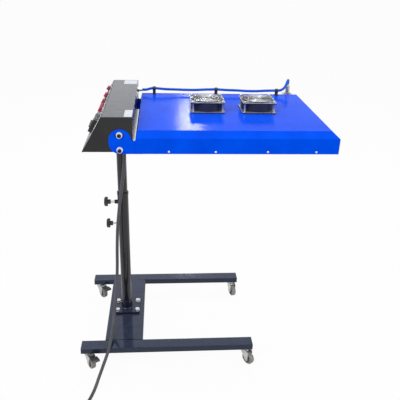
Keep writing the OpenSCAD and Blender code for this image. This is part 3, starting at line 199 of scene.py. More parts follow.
def dome_into(bm, matrix, radius, height):
    """Adds a domed screw head, its flat face on the frame's XY plane."""
    previous = None
    for j in range(DOME_RINGS):
        a = math.pi / 2 * j / DOME_RINGS
        ring = [bm.verts.new(matrix @ Vector((radius * math.cos(a) * c, radius * math.cos(a) * s,
                                              height * math.sin(a))))
                for c, s in around(DOME_SIDES)]
        if previous:
            bridge(bm, previous, ring)
        else:
            bm.faces.new(ring[::-1])
        previous = ring
    tip = bm.verts.new(matrix @ Vector((0, 0, height)))
    for k in range(DOME_SIDES):
        bm.faces.new((previous[k], previous[(k + 1) % DOME_SIDES], tip))


# Node helpers
WHITE = (1, 1, 1, 1)
# The sockets of a mix node for each kind of value: the two that it mixes and its result
MIX_SOCKETS = {"FLOAT": (2, 3, 0), "RGBA": (6, 7, 2)}
# The share of its range where a noise turns from the dark colour to the light one
CLOUD_LOW, CLOUD_HIGH = 0.3, 0.7
# Scratches: how the noise is stretched, its scale, detail and roughness, and where they show
SCRATCH_STRETCH, SCRATCH_NOISE, SCRATCH_LOW, SCRATCH_HIGH = (3, 11, 5), (23.0, 6.0, 0.7), 0.6, 0.7
# Dust and a painted sheen of light from above lie on faces whose normal rises by more than the
# first value below, and are thinner in patches
DUST_SHEEN_RISE, DUST_SHEEN_LOW, DUST_SHEEN_HIGH, DUST_SHEEN_THIN = 0.4, 0.35, 0.7, 0.6
# Scale of the noises for dust and painted sheen and for roughness against the one for colour, and
# their details
DUST_SHEEN_SCALE, ROUGH_SCALE = 3, 5
CLOUD_DETAIL, DUST_SHEEN_DETAIL, GRAIN_DETAIL = 4.0, 5.0, 2.0
COAT_ROUGHNESS, EDGE_SAMPLES = 0.08, 4
# Quartz: colours, how far the noise is stretched along the tubes, its scales for colour and
# roughness, the roughness from end to end of its range, and the share of clear coat
QUARTZ_DARK, QUARTZ_LIGHT = (0.72, 0.66, 0.58), (0.86, 0.82, 0.76)
QUARTZ_STRETCH, QUARTZ_CLOUD, QUARTZ_FROST = (1, 0.05, 1), 30, 90
QUARTZ_SMOOTH, QUARTZ_ROUGH, QUARTZ_COAT = 0.2, 0.4, 0.5


def new_material(name):
    material = bpy.data.materials.new(name)
    material.use_nodes = True
    tree = material.node_tree
    return material, tree, tree.nodes["Principled BSDF"]


def set_inputs(node, values):
    for key, value in values.items():
        node.inputs[key].default_value = value


def feed(tree, value, socket):
    """Sets a socket to a colour or a number, or links an output to it."""
    if isinstance(value, tuple):
        socket.default_value = (*value, 1)
    elif isinstance(value, (int, float)):
        socket.default_value = value
    else:
        tree.links.new(value, socket)


def maths(tree, operation, *values):
    node = tree.nodes.new("ShaderNodeMath")
    node.operation = operation
    for socket, value in zip(node.inputs, values):
        feed(tree, value, socket)
    return node.outputs[0]


def mix(tree, factor, a, b, kind="RGBA"):
    node = tree.nodes.new("ShaderNodeMix")
    node.data_type = kind
    first, second, result = MIX_SOCKETS[kind]
    for socket, value in ((0, factor), (first, a), (second, b)):
        feed(tree, value, node.inputs[socket])
    return node.outputs[result]


def mix_shaders(tree, factor, a, b):
    node = tree.nodes.new("ShaderNodeMixShader")
    for socket, value in zip(node.inputs, (factor, a, b)):
        tree.links.new(value, socket)
    return node.outputs[0]


def span(tree, source, low, high, out_low, out_high):
    """Maps a value from one range to another and holds it at the ends."""
    node = tree.nodes.new("ShaderNodeMapRange")
    set_inputs(node, {"From Min": low, "From Max": high, "To Min": out_low, "To Max": out_high})
    tree.links.new(source, node.inputs["Value"])
    return node.outputs["Result"]


def object_place(tree):
    return tree.nodes.new("ShaderNodeTexCoord").outputs["Object"]


def stretched(tree, stretch):
    node = tree.nodes.new("ShaderNodeMapping")
    node.inputs["Scale"].default_value = stretch
    tree.links.new(object_place(tree), node.inputs["Vector"])
    return node.outputs["Vector"]


def split(tree, vector):
    """The outputs X, Y and Z of a vector."""
    node = tree.nodes.new("ShaderNodeSeparateXYZ")
    tree.links.new(vector, node.inputs[0])
    return node.outputs


def noise(tree, where, scale, detail=3.0, rough=0.55):
    node = tree.nodes.new("ShaderNodeTexNoise")
    set_inputs(node, {"Scale": scale, "Detail": detail, "Roughness": rough})
    tree.links.new(where, node.inputs["Vector"])
    return node.outputs["Fac"]


def clouded(tree, source, dark, light):
    """Two colours with a soft change between them in the middle of a noise's range."""
    node = tree.nodes.new("ShaderNodeValToRGB")
    ends = zip(node.color_ramp.elements, (CLOUD_LOW, CLOUD_HIGH), (dark, light))
    for element, place, colour in ends:
        element.position, element.color = place, (*colour, 1)
    tree.links.new(source, node.inputs["Fac"])
    return node.outputs["Color"]


def surface(name, dark, light, roughness=0.4, rough_span=0.08, metallic=0.0, specular=0.5,
            tint=(1, 1, 1), coat=0.0, sheen=0.0, cloud=14.0, stretch=(1, 1, 1), grain=900.0,
            bump=0.12, depth=0.0004, edge=0.0008, scuff=0.0, scuff_colour=(0.5, 0.5, 0.5),
            dust_and_sheen=0.0, dust_and_sheen_colour=(0.55, 0.54, 0.52)):
    """A worn workshop surface: clouded colour, fine grain, scuffs, and dust and painted sheen on
    what faces up.

    cloud and grain are the scales of the noises for colour and bumps, rough_span is how far the
    roughness strays to either side, depth is the bumps' height and edge the radius of the edges.
    """
    material, tree, shader = new_material(name)
    where = stretched(tree, stretch)
    colour = clouded(tree, noise(tree, where, cloud, CLOUD_DETAIL), dark, light)
    if scuff:
        scratches = noise(tree, stretched(tree, SCRATCH_STRETCH), *SCRATCH_NOISE)
        scratched = span(tree, scratches, SCRATCH_LOW, SCRATCH_HIGH, 0, 1)
        colour = mix(tree, maths(tree, "MULTIPLY", scratched, scuff), colour, scuff_colour)
    # Up-facing faces turn towards a lighter colour: dust, and on some looks a painted sheen of
    # light from above
    if dust_and_sheen:
        normal = tree.nodes.new("ShaderNodeNewGeometry").outputs["Normal"]
        facing_up = span(tree, split(tree, normal)["Z"], DUST_SHEEN_RISE, 1.0, 0, dust_and_sheen)
        patches = noise(tree, where, cloud * DUST_SHEEN_SCALE, DUST_SHEEN_DETAIL)
        dust_and_sheen_share = maths(tree, "MULTIPLY", facing_up,
                      span(tree, patches, DUST_SHEEN_LOW, DUST_SHEEN_HIGH, DUST_SHEEN_THIN, 1))
        colour = mix(tree, dust_and_sheen_share, colour, dust_and_sheen_colour)
    tree.links.new(colour, shader.inputs["Base Color"])
    rough = span(tree, noise(tree, where, cloud * ROUGH_SCALE, CLOUD_DETAIL), CLOUD_LOW,
                 CLOUD_HIGH, roughness - rough_span, roughness + rough_span)
    tree.links.new(rough, shader.inputs["Roughness"])
    set_inputs(shader, {"Metallic": metallic, "Coat Weight": coat,
                        "Coat Roughness": COAT_ROUGHNESS, "Specular IOR Level": specular,
                        "Sheen Weight": sheen, "Specular Tint": (*tint, 1)})
    raised = tree.nodes.new("ShaderNodeBump")
    set_inputs(raised, {"Strength": bump, "Distance": depth})
    tree.links.new(noise(tree, where, grain, GRAIN_DETAIL), raised.inputs["Height"])
    if edge:
        soft = tree.nodes.new("ShaderNodeBevel")
        soft.samples = EDGE_SAMPLES
        soft.inputs["Radius"].default_value = edge
        tree.links.new(soft.outputs["Normal"], raised.inputs["Normal"])
    tree.links.new(raised.outputs["Normal"], shader.inputs["Normal"])
    return material


def quartz_material():
    """Frosted glass, streaked along the tubes."""
    material, tree, shader = new_material("quartz")
    where = stretched(tree, QUARTZ_STRETCH)
    colour = clouded(tree, noise(tree, where, QUARTZ_CLOUD), QUARTZ_DARK, QUARTZ_LIGHT)
    tree.links.new(colour, shader.inputs["Base Color"])
    rough = span(tree, noise(tree, where, QUARTZ_FROST), CLOUD_LOW, CLOUD_HIGH,
                 QUARTZ_SMOOTH, QUARTZ_ROUGH)
    tree.links.new(rough, shader.inputs["Roughness"])
    shader.inputs["Coat Weight"].default_value = QUARTZ_COAT
    return material


# The looks by material slot, and below them those of details without a slot of their own
LOOKS = {
    # Its tops turn a lighter blue through the up-facing colour: a painted sheen of light from above
    "frame_paint": dict(
        dark=(0.008, 0.010, 0.024), light=(0.013, 0.016, 0.036), roughness=0.10, rough_span=0.04,
        specular=0.46, tint=(0.7, 0.8, 1.0), grain=400, bump=0.025,
        scuff=0.05, scuff_colour=(0.15, 0.15, 0.18), dust_and_sheen=0.10, dust_and_sheen_colour=(0.28, 0.34, 0.60)),
    "column_paint": dict(
        dark=(0.008, 0.008, 0.012), light=(0.014, 0.014, 0.019), roughness=0.12, rough_span=0.04,
        specular=0.34, coat=0.2, stretch=(1, 1, 0.3), grain=400, bump=0.03,
        scuff=0.06, scuff_colour=(0.16, 0.16, 0.16)),
    # Its top turns a light bluish grey: a painted sheen of light from above, with some dust
    "box_paint": dict(
        dark=(0.010, 0.010, 0.012), light=(0.018, 0.018, 0.020), roughness=0.2, specular=0.28,
        coat=0.08, grain=700, bump=0.04, dust_and_sheen=0.16, dust_and_sheen_colour=(0.46, 0.53, 0.68)),
    "panel_paint": dict(
        dark=(0.012, 0.012, 0.014), light=(0.020, 0.020, 0.023), roughness=0.34, specular=0.22,
        coat=0.03, grain=700, bump=0.03, edge=0.0015),
    "blue_paint": dict(
        dark=(0.000, 0.070, 0.780), light=(0.000, 0.090, 0.900), roughness=0.17, rough_span=0.04,
        specular=0.018, tint=(0.15, 0.4, 1.0), grain=600, bump=0.04, dust_and_sheen=0.01),
    "zinc": dict(
        dark=(0.52, 0.53, 0.54), light=(0.72, 0.73, 0.74), roughness=0.3, metallic=1.0,
        cloud=60, bump=0.1),
    "fork_zinc": dict(
        dark=(0.42, 0.43, 0.43), light=(0.62, 0.62, 0.61), roughness=0.38, metallic=0.9,
        cloud=50, bump=0.15, scuff=0.2, scuff_colour=(0.25, 0.22, 0.2), dust_and_sheen=0.15),
    "hub_plastic": dict(
        dark=(0.08, 0.08, 0.085), light=(0.13, 0.13, 0.13), roughness=0.5, bump=0.15, dust_and_sheen=0.2),
    "tyre_rubber": dict(
        dark=(0.20, 0.19, 0.17), light=(0.33, 0.31, 0.28), roughness=0.75, cloud=45, grain=1200,
        bump=0.3, edge=0.0, scuff=0.4, scuff_colour=(0.12, 0.11, 0.10)),
    "knob_plastic": dict(
        dark=(0.012, 0.012, 0.014), light=(0.025, 0.025, 0.028), roughness=0.32, grain=1500,
        bump=0.2, edge=0.0012),
    "black_plastic": dict(
        dark=(0.014, 0.014, 0.016), light=(0.028, 0.028, 0.03), roughness=0.45, grain=1800,
        bump=0.25),
    "lever_plastic": dict(
        dark=(0.03, 0.03, 0.032), light=(0.055, 0.055, 0.058), roughness=0.4, bump=0.2),
    "red_plastic": dict(
        dark=(0.42, 0.008, 0.055), light=(0.62, 0.02, 0.11), roughness=0.25, coat=0.4, bump=0.04),
    "relay_plastic": dict(
        dark=(0.6, 0.59, 0.55), light=(0.72, 0.71, 0.66), roughness=0.5, bump=0.1),
    "gland_chrome": dict(
        dark=(0.62, 0.62, 0.64), light=(0.8, 0.8, 0.82), roughness=0.16, metallic=1.0,
        cloud=80, bump=0.04),
    "ceramic_wool": dict(
        dark=(0.62, 0.58, 0.5), light=(0.8, 0.77, 0.7), roughness=0.95, sheen=0.3, cloud=120,
        grain=700, bump=0.9, depth=0.002, edge=0.0),
    "bright_sheet": dict(
        dark=(0.7, 0.71, 0.72), light=(0.84, 0.85, 0.86), roughness=0.2, metallic=1.0,
        cloud=25, stretch=(0.4, 4, 1), bump=0.05),
    "guard_wire": dict(
        dark=(0.5, 0.51, 0.52), light=(0.68, 0.69, 0.7), roughness=0.3, metallic=1.0,
        cloud=60, bump=0.08),
    # The flanges' tops turn a light grey: dust, and in part a painted sheen of light from above
    "fan_black": dict(
        dark=(0.012, 0.013, 0.022), light=(0.024, 0.026, 0.040), roughness=0.38, grain=1500,
        bump=0.2, edge=0.0014, dust_and_sheen=0.5, dust_and_sheen_colour=(0.42, 0.43, 0.48)),
    "guard_chrome": dict(
        dark=(0.40, 0.41, 0.44), light=(0.52, 0.53, 0.56), roughness=0.24, metallic=1.0,
        cloud=90, bump=0.03, edge=0.0),
    "sensor_body": dict(
        dark=(0.42, 0.40, 0.37), light=(0.58, 0.56, 0.53), roughness=0.34, metallic=0.9,
        cloud=50, bump=0.1),
    "blue_sheath": dict(
        dark=(0.001, 0.075, 0.52), light=(0.002, 0.12, 0.68), roughness=0.55, specular=0.2,
        grain=1400, bump=0.15, edge=0.0),
    "cord_sheath": dict(
        dark=(0.042, 0.042, 0.052), light=(0.075, 0.075, 0.09), roughness=0.38,
        stretch=(1, 1, 0.2), bump=0.2, edge=0.0),
    "plug_plastic": dict(
        dark=(0.02, 0.02, 0.022), light=(0.034, 0.034, 0.038), roughness=0.35, bump=0.15),
    "bolt_zinc": dict(
        dark=(0.72, 0.74, 0.78), light=(0.86, 0.88, 0.92), roughness=0.35, metallic=0.45,
        cloud=60, bump=0.08),
    "fan_post": dict(
        dark=(0.34, 0.34, 0.38), light=(0.50, 0.50, 0.54), roughness=0.3, metallic=0.5,
        cloud=60, bump=0.1),
    "pedal_steel": dict(
        dark=(0.055, 0.055, 0.06), light=(0.11, 0.11, 0.115), roughness=0.42, metallic=0.6,
        cloud=70, dust_and_sheen=0.08),
    "label": dict(
        dark=(0.56, 0.60, 0.66), light=(0.66, 0.70, 0.76), roughness=0.5, specular=0.3,
        cloud=60, bump=0.05, edge=0.0),
    "silver_edge": dict(
        dark=(0.34, 0.35, 0.38), light=(0.46, 0.47, 0.50), roughness=0.3, metallic=0.85,
        cloud=30, bump=0.05),
    "element": dict(
        dark=(0.30, 0.16, 0.08), light=(0.45, 0.28, 0.16), roughness=0.45, metallic=0.8,
        cloud=90, edge=0.0),
    "steatite": dict(
        dark=(0.66, 0.62, 0.54), light=(0.8, 0.77, 0.7), roughness=0.6, cloud=80, bump=0.3),
}
MATERIALS = {name: surface(name, **look) for name, look in LOOKS.items()}
MATERIALS["quartz"] = quartz_material()

# Cords: the routes are those of the CAD, in millimetres
CORD_D = 0.012
CORD_R = CORD_D / 2
CORD_SIDES, CORD_STEPS = 18, 6
SENSOR_R, SENSOR_SIDES, SENSOR_STEPS = 0.005, 16, 5
UPPER_ROUTE = [(16, -50, 861), (16, -50, 841), (16, -50, 821), (14, -49, 780), (10, -47, 740),
               (6, -46, 710), (2, -45, 680), (-1, -45, 660), (-4, -45, 640)]
LOWER_ROUTE = [(-4, -45, 640), (-7, -45, 620), (-10, -45, 600), (-16, -46, 550), (-21, -48, 500),
               (-24, -51, 450), (-26, -56, 400), (-27, -63, 350), (-29, -73, 300), (-32, -87, 252),
               (-36, -108, 207), (-40, -136, 166), (-43, -170, 132), (-47, -209, 113),
               (-51, -250, 105), (-59, -285, 90), (-72, -315, 64), (-86, -342, 34),
               (-97, -370, 13), (-107, -402, 6), (-117, -433, 6), (-127, -464, 6), (-137, -495, 6)]
SENSOR_ROUTE = [(74, 232, 972), (84, 232, 972), (94, 232, 973), (104, 232, 976), (115, 232, 978),
                (127, 232, 978), (165, 232, 975), (205, 232, 974), (245, 232, 973),
                (285, 232, 973), (325, 232, 975), (361, 232, 976), (373, 232, 976),
                (410, 232, 974), (450, 232, 973), (490, 232, 971), (530, 232, 971),
                (570, 232, 973), (606, 232, 974), (618, 232, 974), (634, 235, 977),
                (647, 243, 985), (655, 253, 995), (661, 264, 1004), (666, 275, 1007),
                (669, 283, 1004), (670, 287, 998), (670, 288, 993), (670, 288, 989.3)]
# The coil ends at COIL_EXIT degrees, and PLUG_RUN leads on from it to the plug
COIL_R, COIL_PITCH, COIL_WHOLE_TURNS, COIL_EXIT, PLUG_RUN = 0.076, 0.0126, 4, 270, 0.024
COIL_CLIMB_TURNS, COIL_STEPS = 0.5, 72


def mm(points):
    return [Vector(p) / 1000 for p in points]


def coil_line():
    """The coil: it spirals in on the floor, climbs by a layer and spirals out again on top."""
    before, last = mm(LOWER_ROUTE[-2:])
    ahead = (last - before).normalized()
    start = last + CORD_D * ahead
    entry = math.degrees(math.atan2(-ahead.x, ahead.y))
    spoke = Vector((math.cos(math.radians(entry)), math.sin(math.radians(entry)), 0))
    centre = start - COIL_R * spoke
    turns = COIL_WHOLE_TURNS + (COIL_EXIT - entry) / 360
    back = COIL_WHOLE_TURNS / 2 + COIL_CLIMB_TURNS / 2
    count = round(turns * COIL_STEPS)
    line = []
    for k in range(count + 1):
        t = k * turns / count
        r = COIL_R - COIL_PITCH * (t if t < back else 2 * back - t)
        a = math.radians(entry + 360 * t)
        rise = COIL_PITCH * max(0, min(1, (t - back) / COIL_CLIMB_TURNS + 0.5))
        line.append(centre + Vector((r * math.cos(a), r * math.sin(a), rise)))
    return line + [line[-1] + Vector((PLUG_RUN, 0, 0))]


def cord_piece(name, line, radius, sides, look):
    bm = bmesh.new()
    tube_into(bm, line, radius, sides)
    return from_bmesh(name, bm, None, MATERIALS[look])


def add_cords():
    upper = smooth_line(mm(UPPER_ROUTE), CORD_STEPS)
    lower = smooth_line(mm(LOWER_ROUTE), CORD_STEPS) + coil_line()
    sensor_line = smooth_line(mm(SENSOR_ROUTE), SENSOR_STEPS)
    top = cord_piece("power_cord_top", upper, CORD_R, CORD_SIDES, "cord_sheath")
    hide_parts("power_cord_upper")
    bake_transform(top)
    run = cord_piece("power_cord_run", lower, CORD_R, CORD_SIDES, "cord_sheath")
    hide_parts("power_cord_lower", "cord_coil")
    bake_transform(run)
    lead = cord_piece("sensor_lead", sensor_line, SENSOR_R, SENSOR_SIDES, "blue_sheath")
    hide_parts("sensor_cable", "sensor_cable_loop")
    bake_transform(lead)


add_cords()

# Materials of the CAD nodes. The tilt bolts' sockets are painted dark as the shade in their
# hollows, and the plug's pins are brass: where each begins is read from the place on the node.
TILT_BOLT_AXES = [Vector((0.0172, 0, 0.8975)), Vector((0.0172, 0, 0.9461))]
TILT_SOCKET_Y, TILT_SOCKET_R, TILT_SOCKET_RIM_R = 0.2713, 0.0066, 0.0072
PLUG_FACE_X = 0.0605
MASK_EDGE = 0.0001


def past(tree, value, limit):
    """One where a value is over a limit, and zero where it is under."""
    return span(tree, value, limit - MASK_EDGE, limit + MASK_EDGE, 0, 1)


def in_shaded_tilt_sockets(tree):
    """One in the outer ends of the tilt bolts' sockets, where shade is painted, and zero elsewhere.
    """
    place = split(tree, object_place(tree))
    flat = tree.nodes.new("ShaderNodeCombineXYZ")
    tree.links.new(place["X"], flat.inputs["X"])
    tree.links.new(place["Z"], flat.inputs["Z"])
    distances = []
    for axis in TILT_BOLT_AXES:
        away = tree.nodes.new("ShaderNodeVectorMath")
        away.operation = "DISTANCE"
        tree.links.new(flat.outputs[0], away.inputs[0])
        away.inputs[1].default_value = axis
        distances.append(away.outputs["Value"])
    nearest = maths(tree, "MINIMUM", *distances)
    outer = past(tree, maths(tree, "ABSOLUTE", place["Y"]), TILT_SOCKET_Y)
    return maths(tree, "MULTIPLY", outer,
                 span(tree, nearest, TILT_SOCKET_R, TILT_SOCKET_RIM_R, 1, 0))


def in_plug_pins(tree):
    """One beyond the plug's face, and zero on its body."""
    return past(tree, split(tree, object_place(tree))["X"], PLUG_FACE_X)


def two_tone(name, base, within, colour, roughness, metallic):
    """A copy of one look, which changes to another where the mask is one."""
    material = MATERIALS[base].copy()
    material.name = name
    tree = material.node_tree
    inputs = tree.nodes["Principled BSDF"].inputs
    mask = within(tree)
    for key, value, kind in (("Base Color", colour, "RGBA"), ("Roughness", roughness, "FLOAT")):
        base_value = inputs[key].links[0].from_socket
        tree.links.new(mix(tree, mask, base_value, value, kind), inputs[key])
    metal = span(tree, mask, 0, 1, inputs["Metallic"].default_value, metallic)
    tree.links.new(metal, inputs["Metallic"])
    return material


OWN_LOOKS = {
    # The tilt bolts: painted shade, a near-black disc in each socket
    "head_bolts": two_tone("tilt_bolts_socket_shade", "bolt_zinc", in_shaded_tilt_sockets,
                           colour=(0.03, 0.03, 0.032), roughness=0.4, metallic=0.3),
    "near_brake_pedal": MATERIALS["pedal_steel"],
    "far_brake_pedal": MATERIALS["pedal_steel"],
    "plug": two_tone("plug_and_pins", "plug_plastic", in_plug_pins,
                     colour=(0.72, 0.6, 0.3), roughness=0.25, metallic=1.0),
}
slot_of = {part["node"]: part["material_slot"] for part in frame["record"]["subparts"]}
for node, obj in frame["nodes"].items():
    obj.data.materials.clear()
    obj.data.materials.append(OWN_LOOKS.get(node, MATERIALS[slot_of[node]]))
    for face in obj.data.polygons:
        face.use_smooth = True
    sharpen(obj)

# Fans: places on the hood's top, the distance of the screws from the middle along each side, and
# heights from the hood's top. The rings rest on the arms, and COUNT is the number of steps round.
HOOD_TOP = 0.9555
FAN_PLACES = [Vector((0.312, 0.012, HOOD_TOP)), Vector((0.495, 0.012, HOOD_TOP))]
FAN_SCREW = 0.0525
GUARD_Z, GUARD_WIRE_R = 0.0393, 0.0010
GUARD_RINGS, GUARD_FIRST_R, GUARD_STEP, GUARD_RING_COUNT = 9, 0.0095, 0.0055, 72
GUARD_RING_LIFT = 1.7 * GUARD_WIRE_R
GUARD_RING_Z = GUARD_Z + GUARD_RING_LIFT
GUARD_ARM_START, GUARD_ARM_R, GUARD_SIDES = 0.0085, 0.0016, 10
GUARD_EYE_R, GUARD_EYE_WIRE_R, GUARD_EYE_REACH, GUARD_EYE_COUNT = 0.0034, 0.0011, 0.0036, 28
# Heights and radii of a post from its foot to its top
POST_PROFILE = [(0.0039, 0.0042), (0.0055, 0.0034), (0.0325, 0.0034), (0.0341, 0.0042)]
POST_SIDES = 20
FAN_RIM_HEIGHTS = (0.0036, 0.0374)
FAN_RIM_HALF, FAN_RIM_CORNER, FAN_RIM_R = 0.0597, 0.0057, 0.0009
WIRE_SIDES = 8


def add_fan_guards():
    """Finger guards: wire rings on four arms, each arm ending in an eye round its screw."""
    bm = bmesh.new()
    for fan in FAN_PLACES:
        for k in range(GUARD_RINGS):
            ring = circle_line(fan + Vector((0, 0, GUARD_RING_Z)), GUARD_FIRST_R + k * GUARD_STEP,
                               GUARD_RING_COUNT)
            tube_into(bm, ring, GUARD_WIRE_R, WIRE_SIDES, closed=True)
        for k in range(4):
            a = math.radians(45 + 90 * k)
            spoke = Vector((math.cos(a), math.sin(a), 0))
            corner = fan + Vector((math.copysign(FAN_SCREW, spoke.x),
                                   math.copysign(FAN_SCREW, spoke.y), GUARD_Z))
            arm = [fan + spoke * GUARD_ARM_START + Vector((0, 0, GUARD_Z)),
                   corner - spoke * GUARD_EYE_REACH]
            tube_into(bm, arm, GUARD_ARM_R, GUARD_SIDES)
            eye = circle_line(corner, GUARD_EYE_R, GUARD_EYE_COUNT)
            tube_into(bm, eye, GUARD_EYE_WIRE_R, GUARD_SIDES, closed=True)
    guards = from_bmesh("fan_guard_wires", bm, "hood", MATERIALS["guard_chrome"])
    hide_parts("fan_guards")


def add_fan_posts():
    """The sleeves that join a fan's two flanges at its corners."""
    bm = bmesh.new()
    for fan in FAN_PLACES:
        for x in (-FAN_SCREW, FAN_SCREW):
            for y in (-FAN_SCREW, FAN_SCREW):
                foot = fan + Vector((x, y, 0))
                tube_into(bm, [foot + Vector((0, 0, z)) for z, r in POST_PROFILE],
                          [r for z, r in POST_PROFILE], POST_SIDES)
    sharpen(from_bmesh("fan_posts", bm, "hood", MATERIALS["fan_post"]))


def add_fan_rims_and_highlights():
    """Light metal strips round a fan's two flanges: bare edges that also carry a painted highlight.
    """
    bm = bmesh.new()
    for fan in FAN_PLACES:
        for z in FAN_RIM_HEIGHTS:
            rim = rounded_square(fan + Vector((0, 0, z)), FAN_RIM_HALF, FAN_RIM_CORNER)
            tube_into(bm, rim, FAN_RIM_R, WIRE_SIDES, closed=True)
    from_bmesh("fan_rims_and_highlights", bm, "hood", MATERIALS["fan_post"])


# Welds: upright beads at the crossbar's corners, and rings given by height, radius and bead radius
CROSSBAR_END_Y, CROSSBAR_SIDE_X = 0.2065, 0.073
CROSSBAR_BEAD_Z, CROSSBAR_BEAD_R = (0.0735, 0.0915), 0.0021
COLUMN_RINGS = ((0.1035, 0.0262, 0.0016), (0.1412, 0.0217, 0.0009))
SOCKET_RING = (0.8836, 0.0262, 0.0015)
WELD_STEP, WELD_SIDES, WELD_RING_COUNT = 0.0022, 10, 80
# Share of the radius and turn per step of each ripple
WELD_RIPPLES = ((0.13, 2.1), (0.06, 0.7))


def bead_into(bm, points, radius, closed=False):
    """Adds a weld bead through the points, with small ripples along it."""
    line = []
    for a, b in zip(points, points[1:] + (points[:1] if closed else [])):
        count = max(2, round((b - a).length / WELD_STEP))
        line += [a.lerp(b, k / count) for k in range(count)]
    if not closed:
        line.append(points[-1])
    (coarse, coarse_turn), (fine, fine_turn) = WELD_RIPPLES
    radii = [radius * (1 + coarse * math.sin(k * coarse_turn) + fine * math.sin(k * fine_turn))
             for k in range(len(line))]
    tube_into(bm, line, radii, WELD_SIDES, closed)


def ring_bead_into(bm, height, ring_radius, radius):
    bead_into(bm, circle_line(Vector((0, 0, height)), ring_radius, WELD_RING_COUNT), radius, True)


def add_welds():
    """Beads where the crossbar meets the rails, at the column's foot and under the head's plate."""
    bm = bmesh.new()
    for y in (-CROSSBAR_END_Y, CROSSBAR_END_Y):
        for x in (-CROSSBAR_SIDE_X, CROSSBAR_SIDE_X):
            bead_into(bm, [Vector((x, y, z)) for z in CROSSBAR_BEAD_Z], CROSSBAR_BEAD_R)
    from_bmesh("crossbar_welds", bm, "base", MATERIALS["frame_paint"])
    bm = bmesh.new()
    for ring in COLUMN_RINGS:
        ring_bead_into(bm, *ring)
    from_bmesh("column_welds", bm, "base", MATERIALS["column_paint"])
    bm = bmesh.new()
    ring_bead_into(bm, *SOCKET_RING)
    from_bmesh("socket_weld", bm, "head", MATERIALS["column_paint"])


# Control panel: Y is the place along it, and S the way down its slope from the upper edge
PANEL_TOP = Vector((-0.038, 0, 1.002))
PANEL_SLOPE = math.atan2(0.113, 0.063)
PANEL_LENGTH, PANEL_HALF, PANEL_RIM = 0.1294, 0.2655, 0.0022
RIM_OUT, RIM_SIDES = 0.0004, 10
# Labels on the box's top: place and size
BOX_LABELS = (((0.0445, -0.222, 1.0020), (0.0245, 0.078)), ((0.030, 0.226, 1.0020), (0.050, 0.066)))
LABEL_CORNER, LABEL_T = 0.002, 0.0004
# Tags on the panel: places, size and corner radius
SWITCH_TAG_YS, SWITCH_TAG_S = (0.232, 0.118, 0.021, -0.055), 0.0135
SWITCH_TAG, SWITCH_TAG_CORNER = (0.008, 0.022), 0.001
BREAKER_Y, BREAKER_MODULES, MODULE_W = -0.187, 4, 0.0175
BREAKER_TAG_S, BREAKER_PROUD = 0.0345, 0.013
BREAKER_TAG, BREAKER_TAG_CORNER = (0.006, 0.0125), 0.0008
PLATE_Y, PLATE_S, PLATE_SIZE, PLATE_CORNER, PLATE_T = -0.124, 0.031, (0.040, 0.034), 0.002, 0.0012
# Places along the panel, places down it, radius and height of its domed screws
PANEL_SCREWS = (((-0.257, -0.13, 0.09, 0.257), (0.008, 0.121), 0.0033, 0.0018),
                ((-0.23, -0.145), (0.024, 0.080), 0.0022, 0.0012))


def panel_matrix(y, s, out=0.0):
    """A frame on the control panel: X up the slope, Y along the panel and Z outwards."""
    up = Vector((math.cos(PANEL_SLOPE), 0, math.sin(PANEL_SLOPE)))
    outward = Vector((-math.sin(PANEL_SLOPE), 0, math.cos(PANEL_SLOPE)))
    along = outward.cross(up)
    return placed(PANEL_TOP + Vector((0, y, 0)) - up * s + outward * out, up, along, outward)


def add_plates():
    """Blank labels on the box, blank tags on the panel, and the bare plate on the panel."""
    bm = bmesh.new()
    for place, size in BOX_LABELS:
        plate_into(bm, Matrix.Translation(place), size, LABEL_CORNER, LABEL_T)
    from_bmesh("box_labels", bm, "head", MATERIALS["label"], smooth=False)
    bm = bmesh.new()
    for y in SWITCH_TAG_YS:
        plate_into(bm, panel_matrix(y, SWITCH_TAG_S), SWITCH_TAG, SWITCH_TAG_CORNER, LABEL_T)
    for k in range(BREAKER_MODULES):
        y = BREAKER_Y + (k - (BREAKER_MODULES - 1) / 2) * MODULE_W
        plate_into(bm, panel_matrix(y, BREAKER_TAG_S, BREAKER_PROUD), BREAKER_TAG,
                   BREAKER_TAG_CORNER, LABEL_T)
    from_bmesh("panel_tags", bm, "head", MATERIALS["label"], smooth=False)
    bm = bmesh.new()
    plate_into(bm, panel_matrix(PLATE_Y, PLATE_S), PLATE_SIZE, PLATE_CORNER, PLATE_T)
    from_bmesh("panel_plate", bm, "head", MATERIALS["silver_edge"], smooth=False)


def add_panel_rim():
    """The panel's bright folded rim, which shows as a light line along the box's edges."""
    bm = bmesh.new()
    y, low, high = PANEL_HALF - PANEL_RIM / 2, PANEL_LENGTH - PANEL_RIM / 2, PANEL_RIM / 2
    corners = [panel_matrix(side * y, s, RIM_OUT).translation
               for side, s in ((-1, high), (1, high), (1, low), (-1, low))]
    for a, b in zip(corners, corners[1:] + corners[:1]):
        tube_into(bm, [a, b], PANEL_RIM / 2, RIM_SIDES)
    from_bmesh("panel_rim", bm, "head", MATERIALS["silver_edge"])


def add_panel_screws():
    bm = bmesh.new()
    for places_along, places_down, radius, height in PANEL_SCREWS:
        for y in places_along:
            for s in places_down:
                dome_into(bm, panel_matrix(y, s), radius, height)
    from_bmesh("panel_screws", bm, "head", MATERIALS["zinc"])


# Lamps: twelve tubes along Y, with a wound element inside each and a ceramic cap at both ends
LAMP_COUNT, LAMP_R, LAMP_HALF, LAMP_Z = 12, 0.006, 0.233, 0.9045
LAMP_FIRST_X, LAMP_LAST_X = 0.1101, 0.6779
LAMP_SIDES = 24
WINDING_TURNS, TURN_STEPS, WINDING_R, WINDING_END = 56, 10, 0.0034, 0.004
ELEMENT_R, ELEMENT_SIDES = 0.0006, 5
# Distances from the glass's end and radii along a cap
CAP_PROFILE = [(0, 0.0078), (0.002, 0.0082), (0.021, 0.0082), (0.023, 0.0076), (0.024, 0.0070)]
CAP_L = CAP_PROFILE[-1][0]
PIN_L, PIN_R, PIN_SIDES = 0.005, 0.002, 12


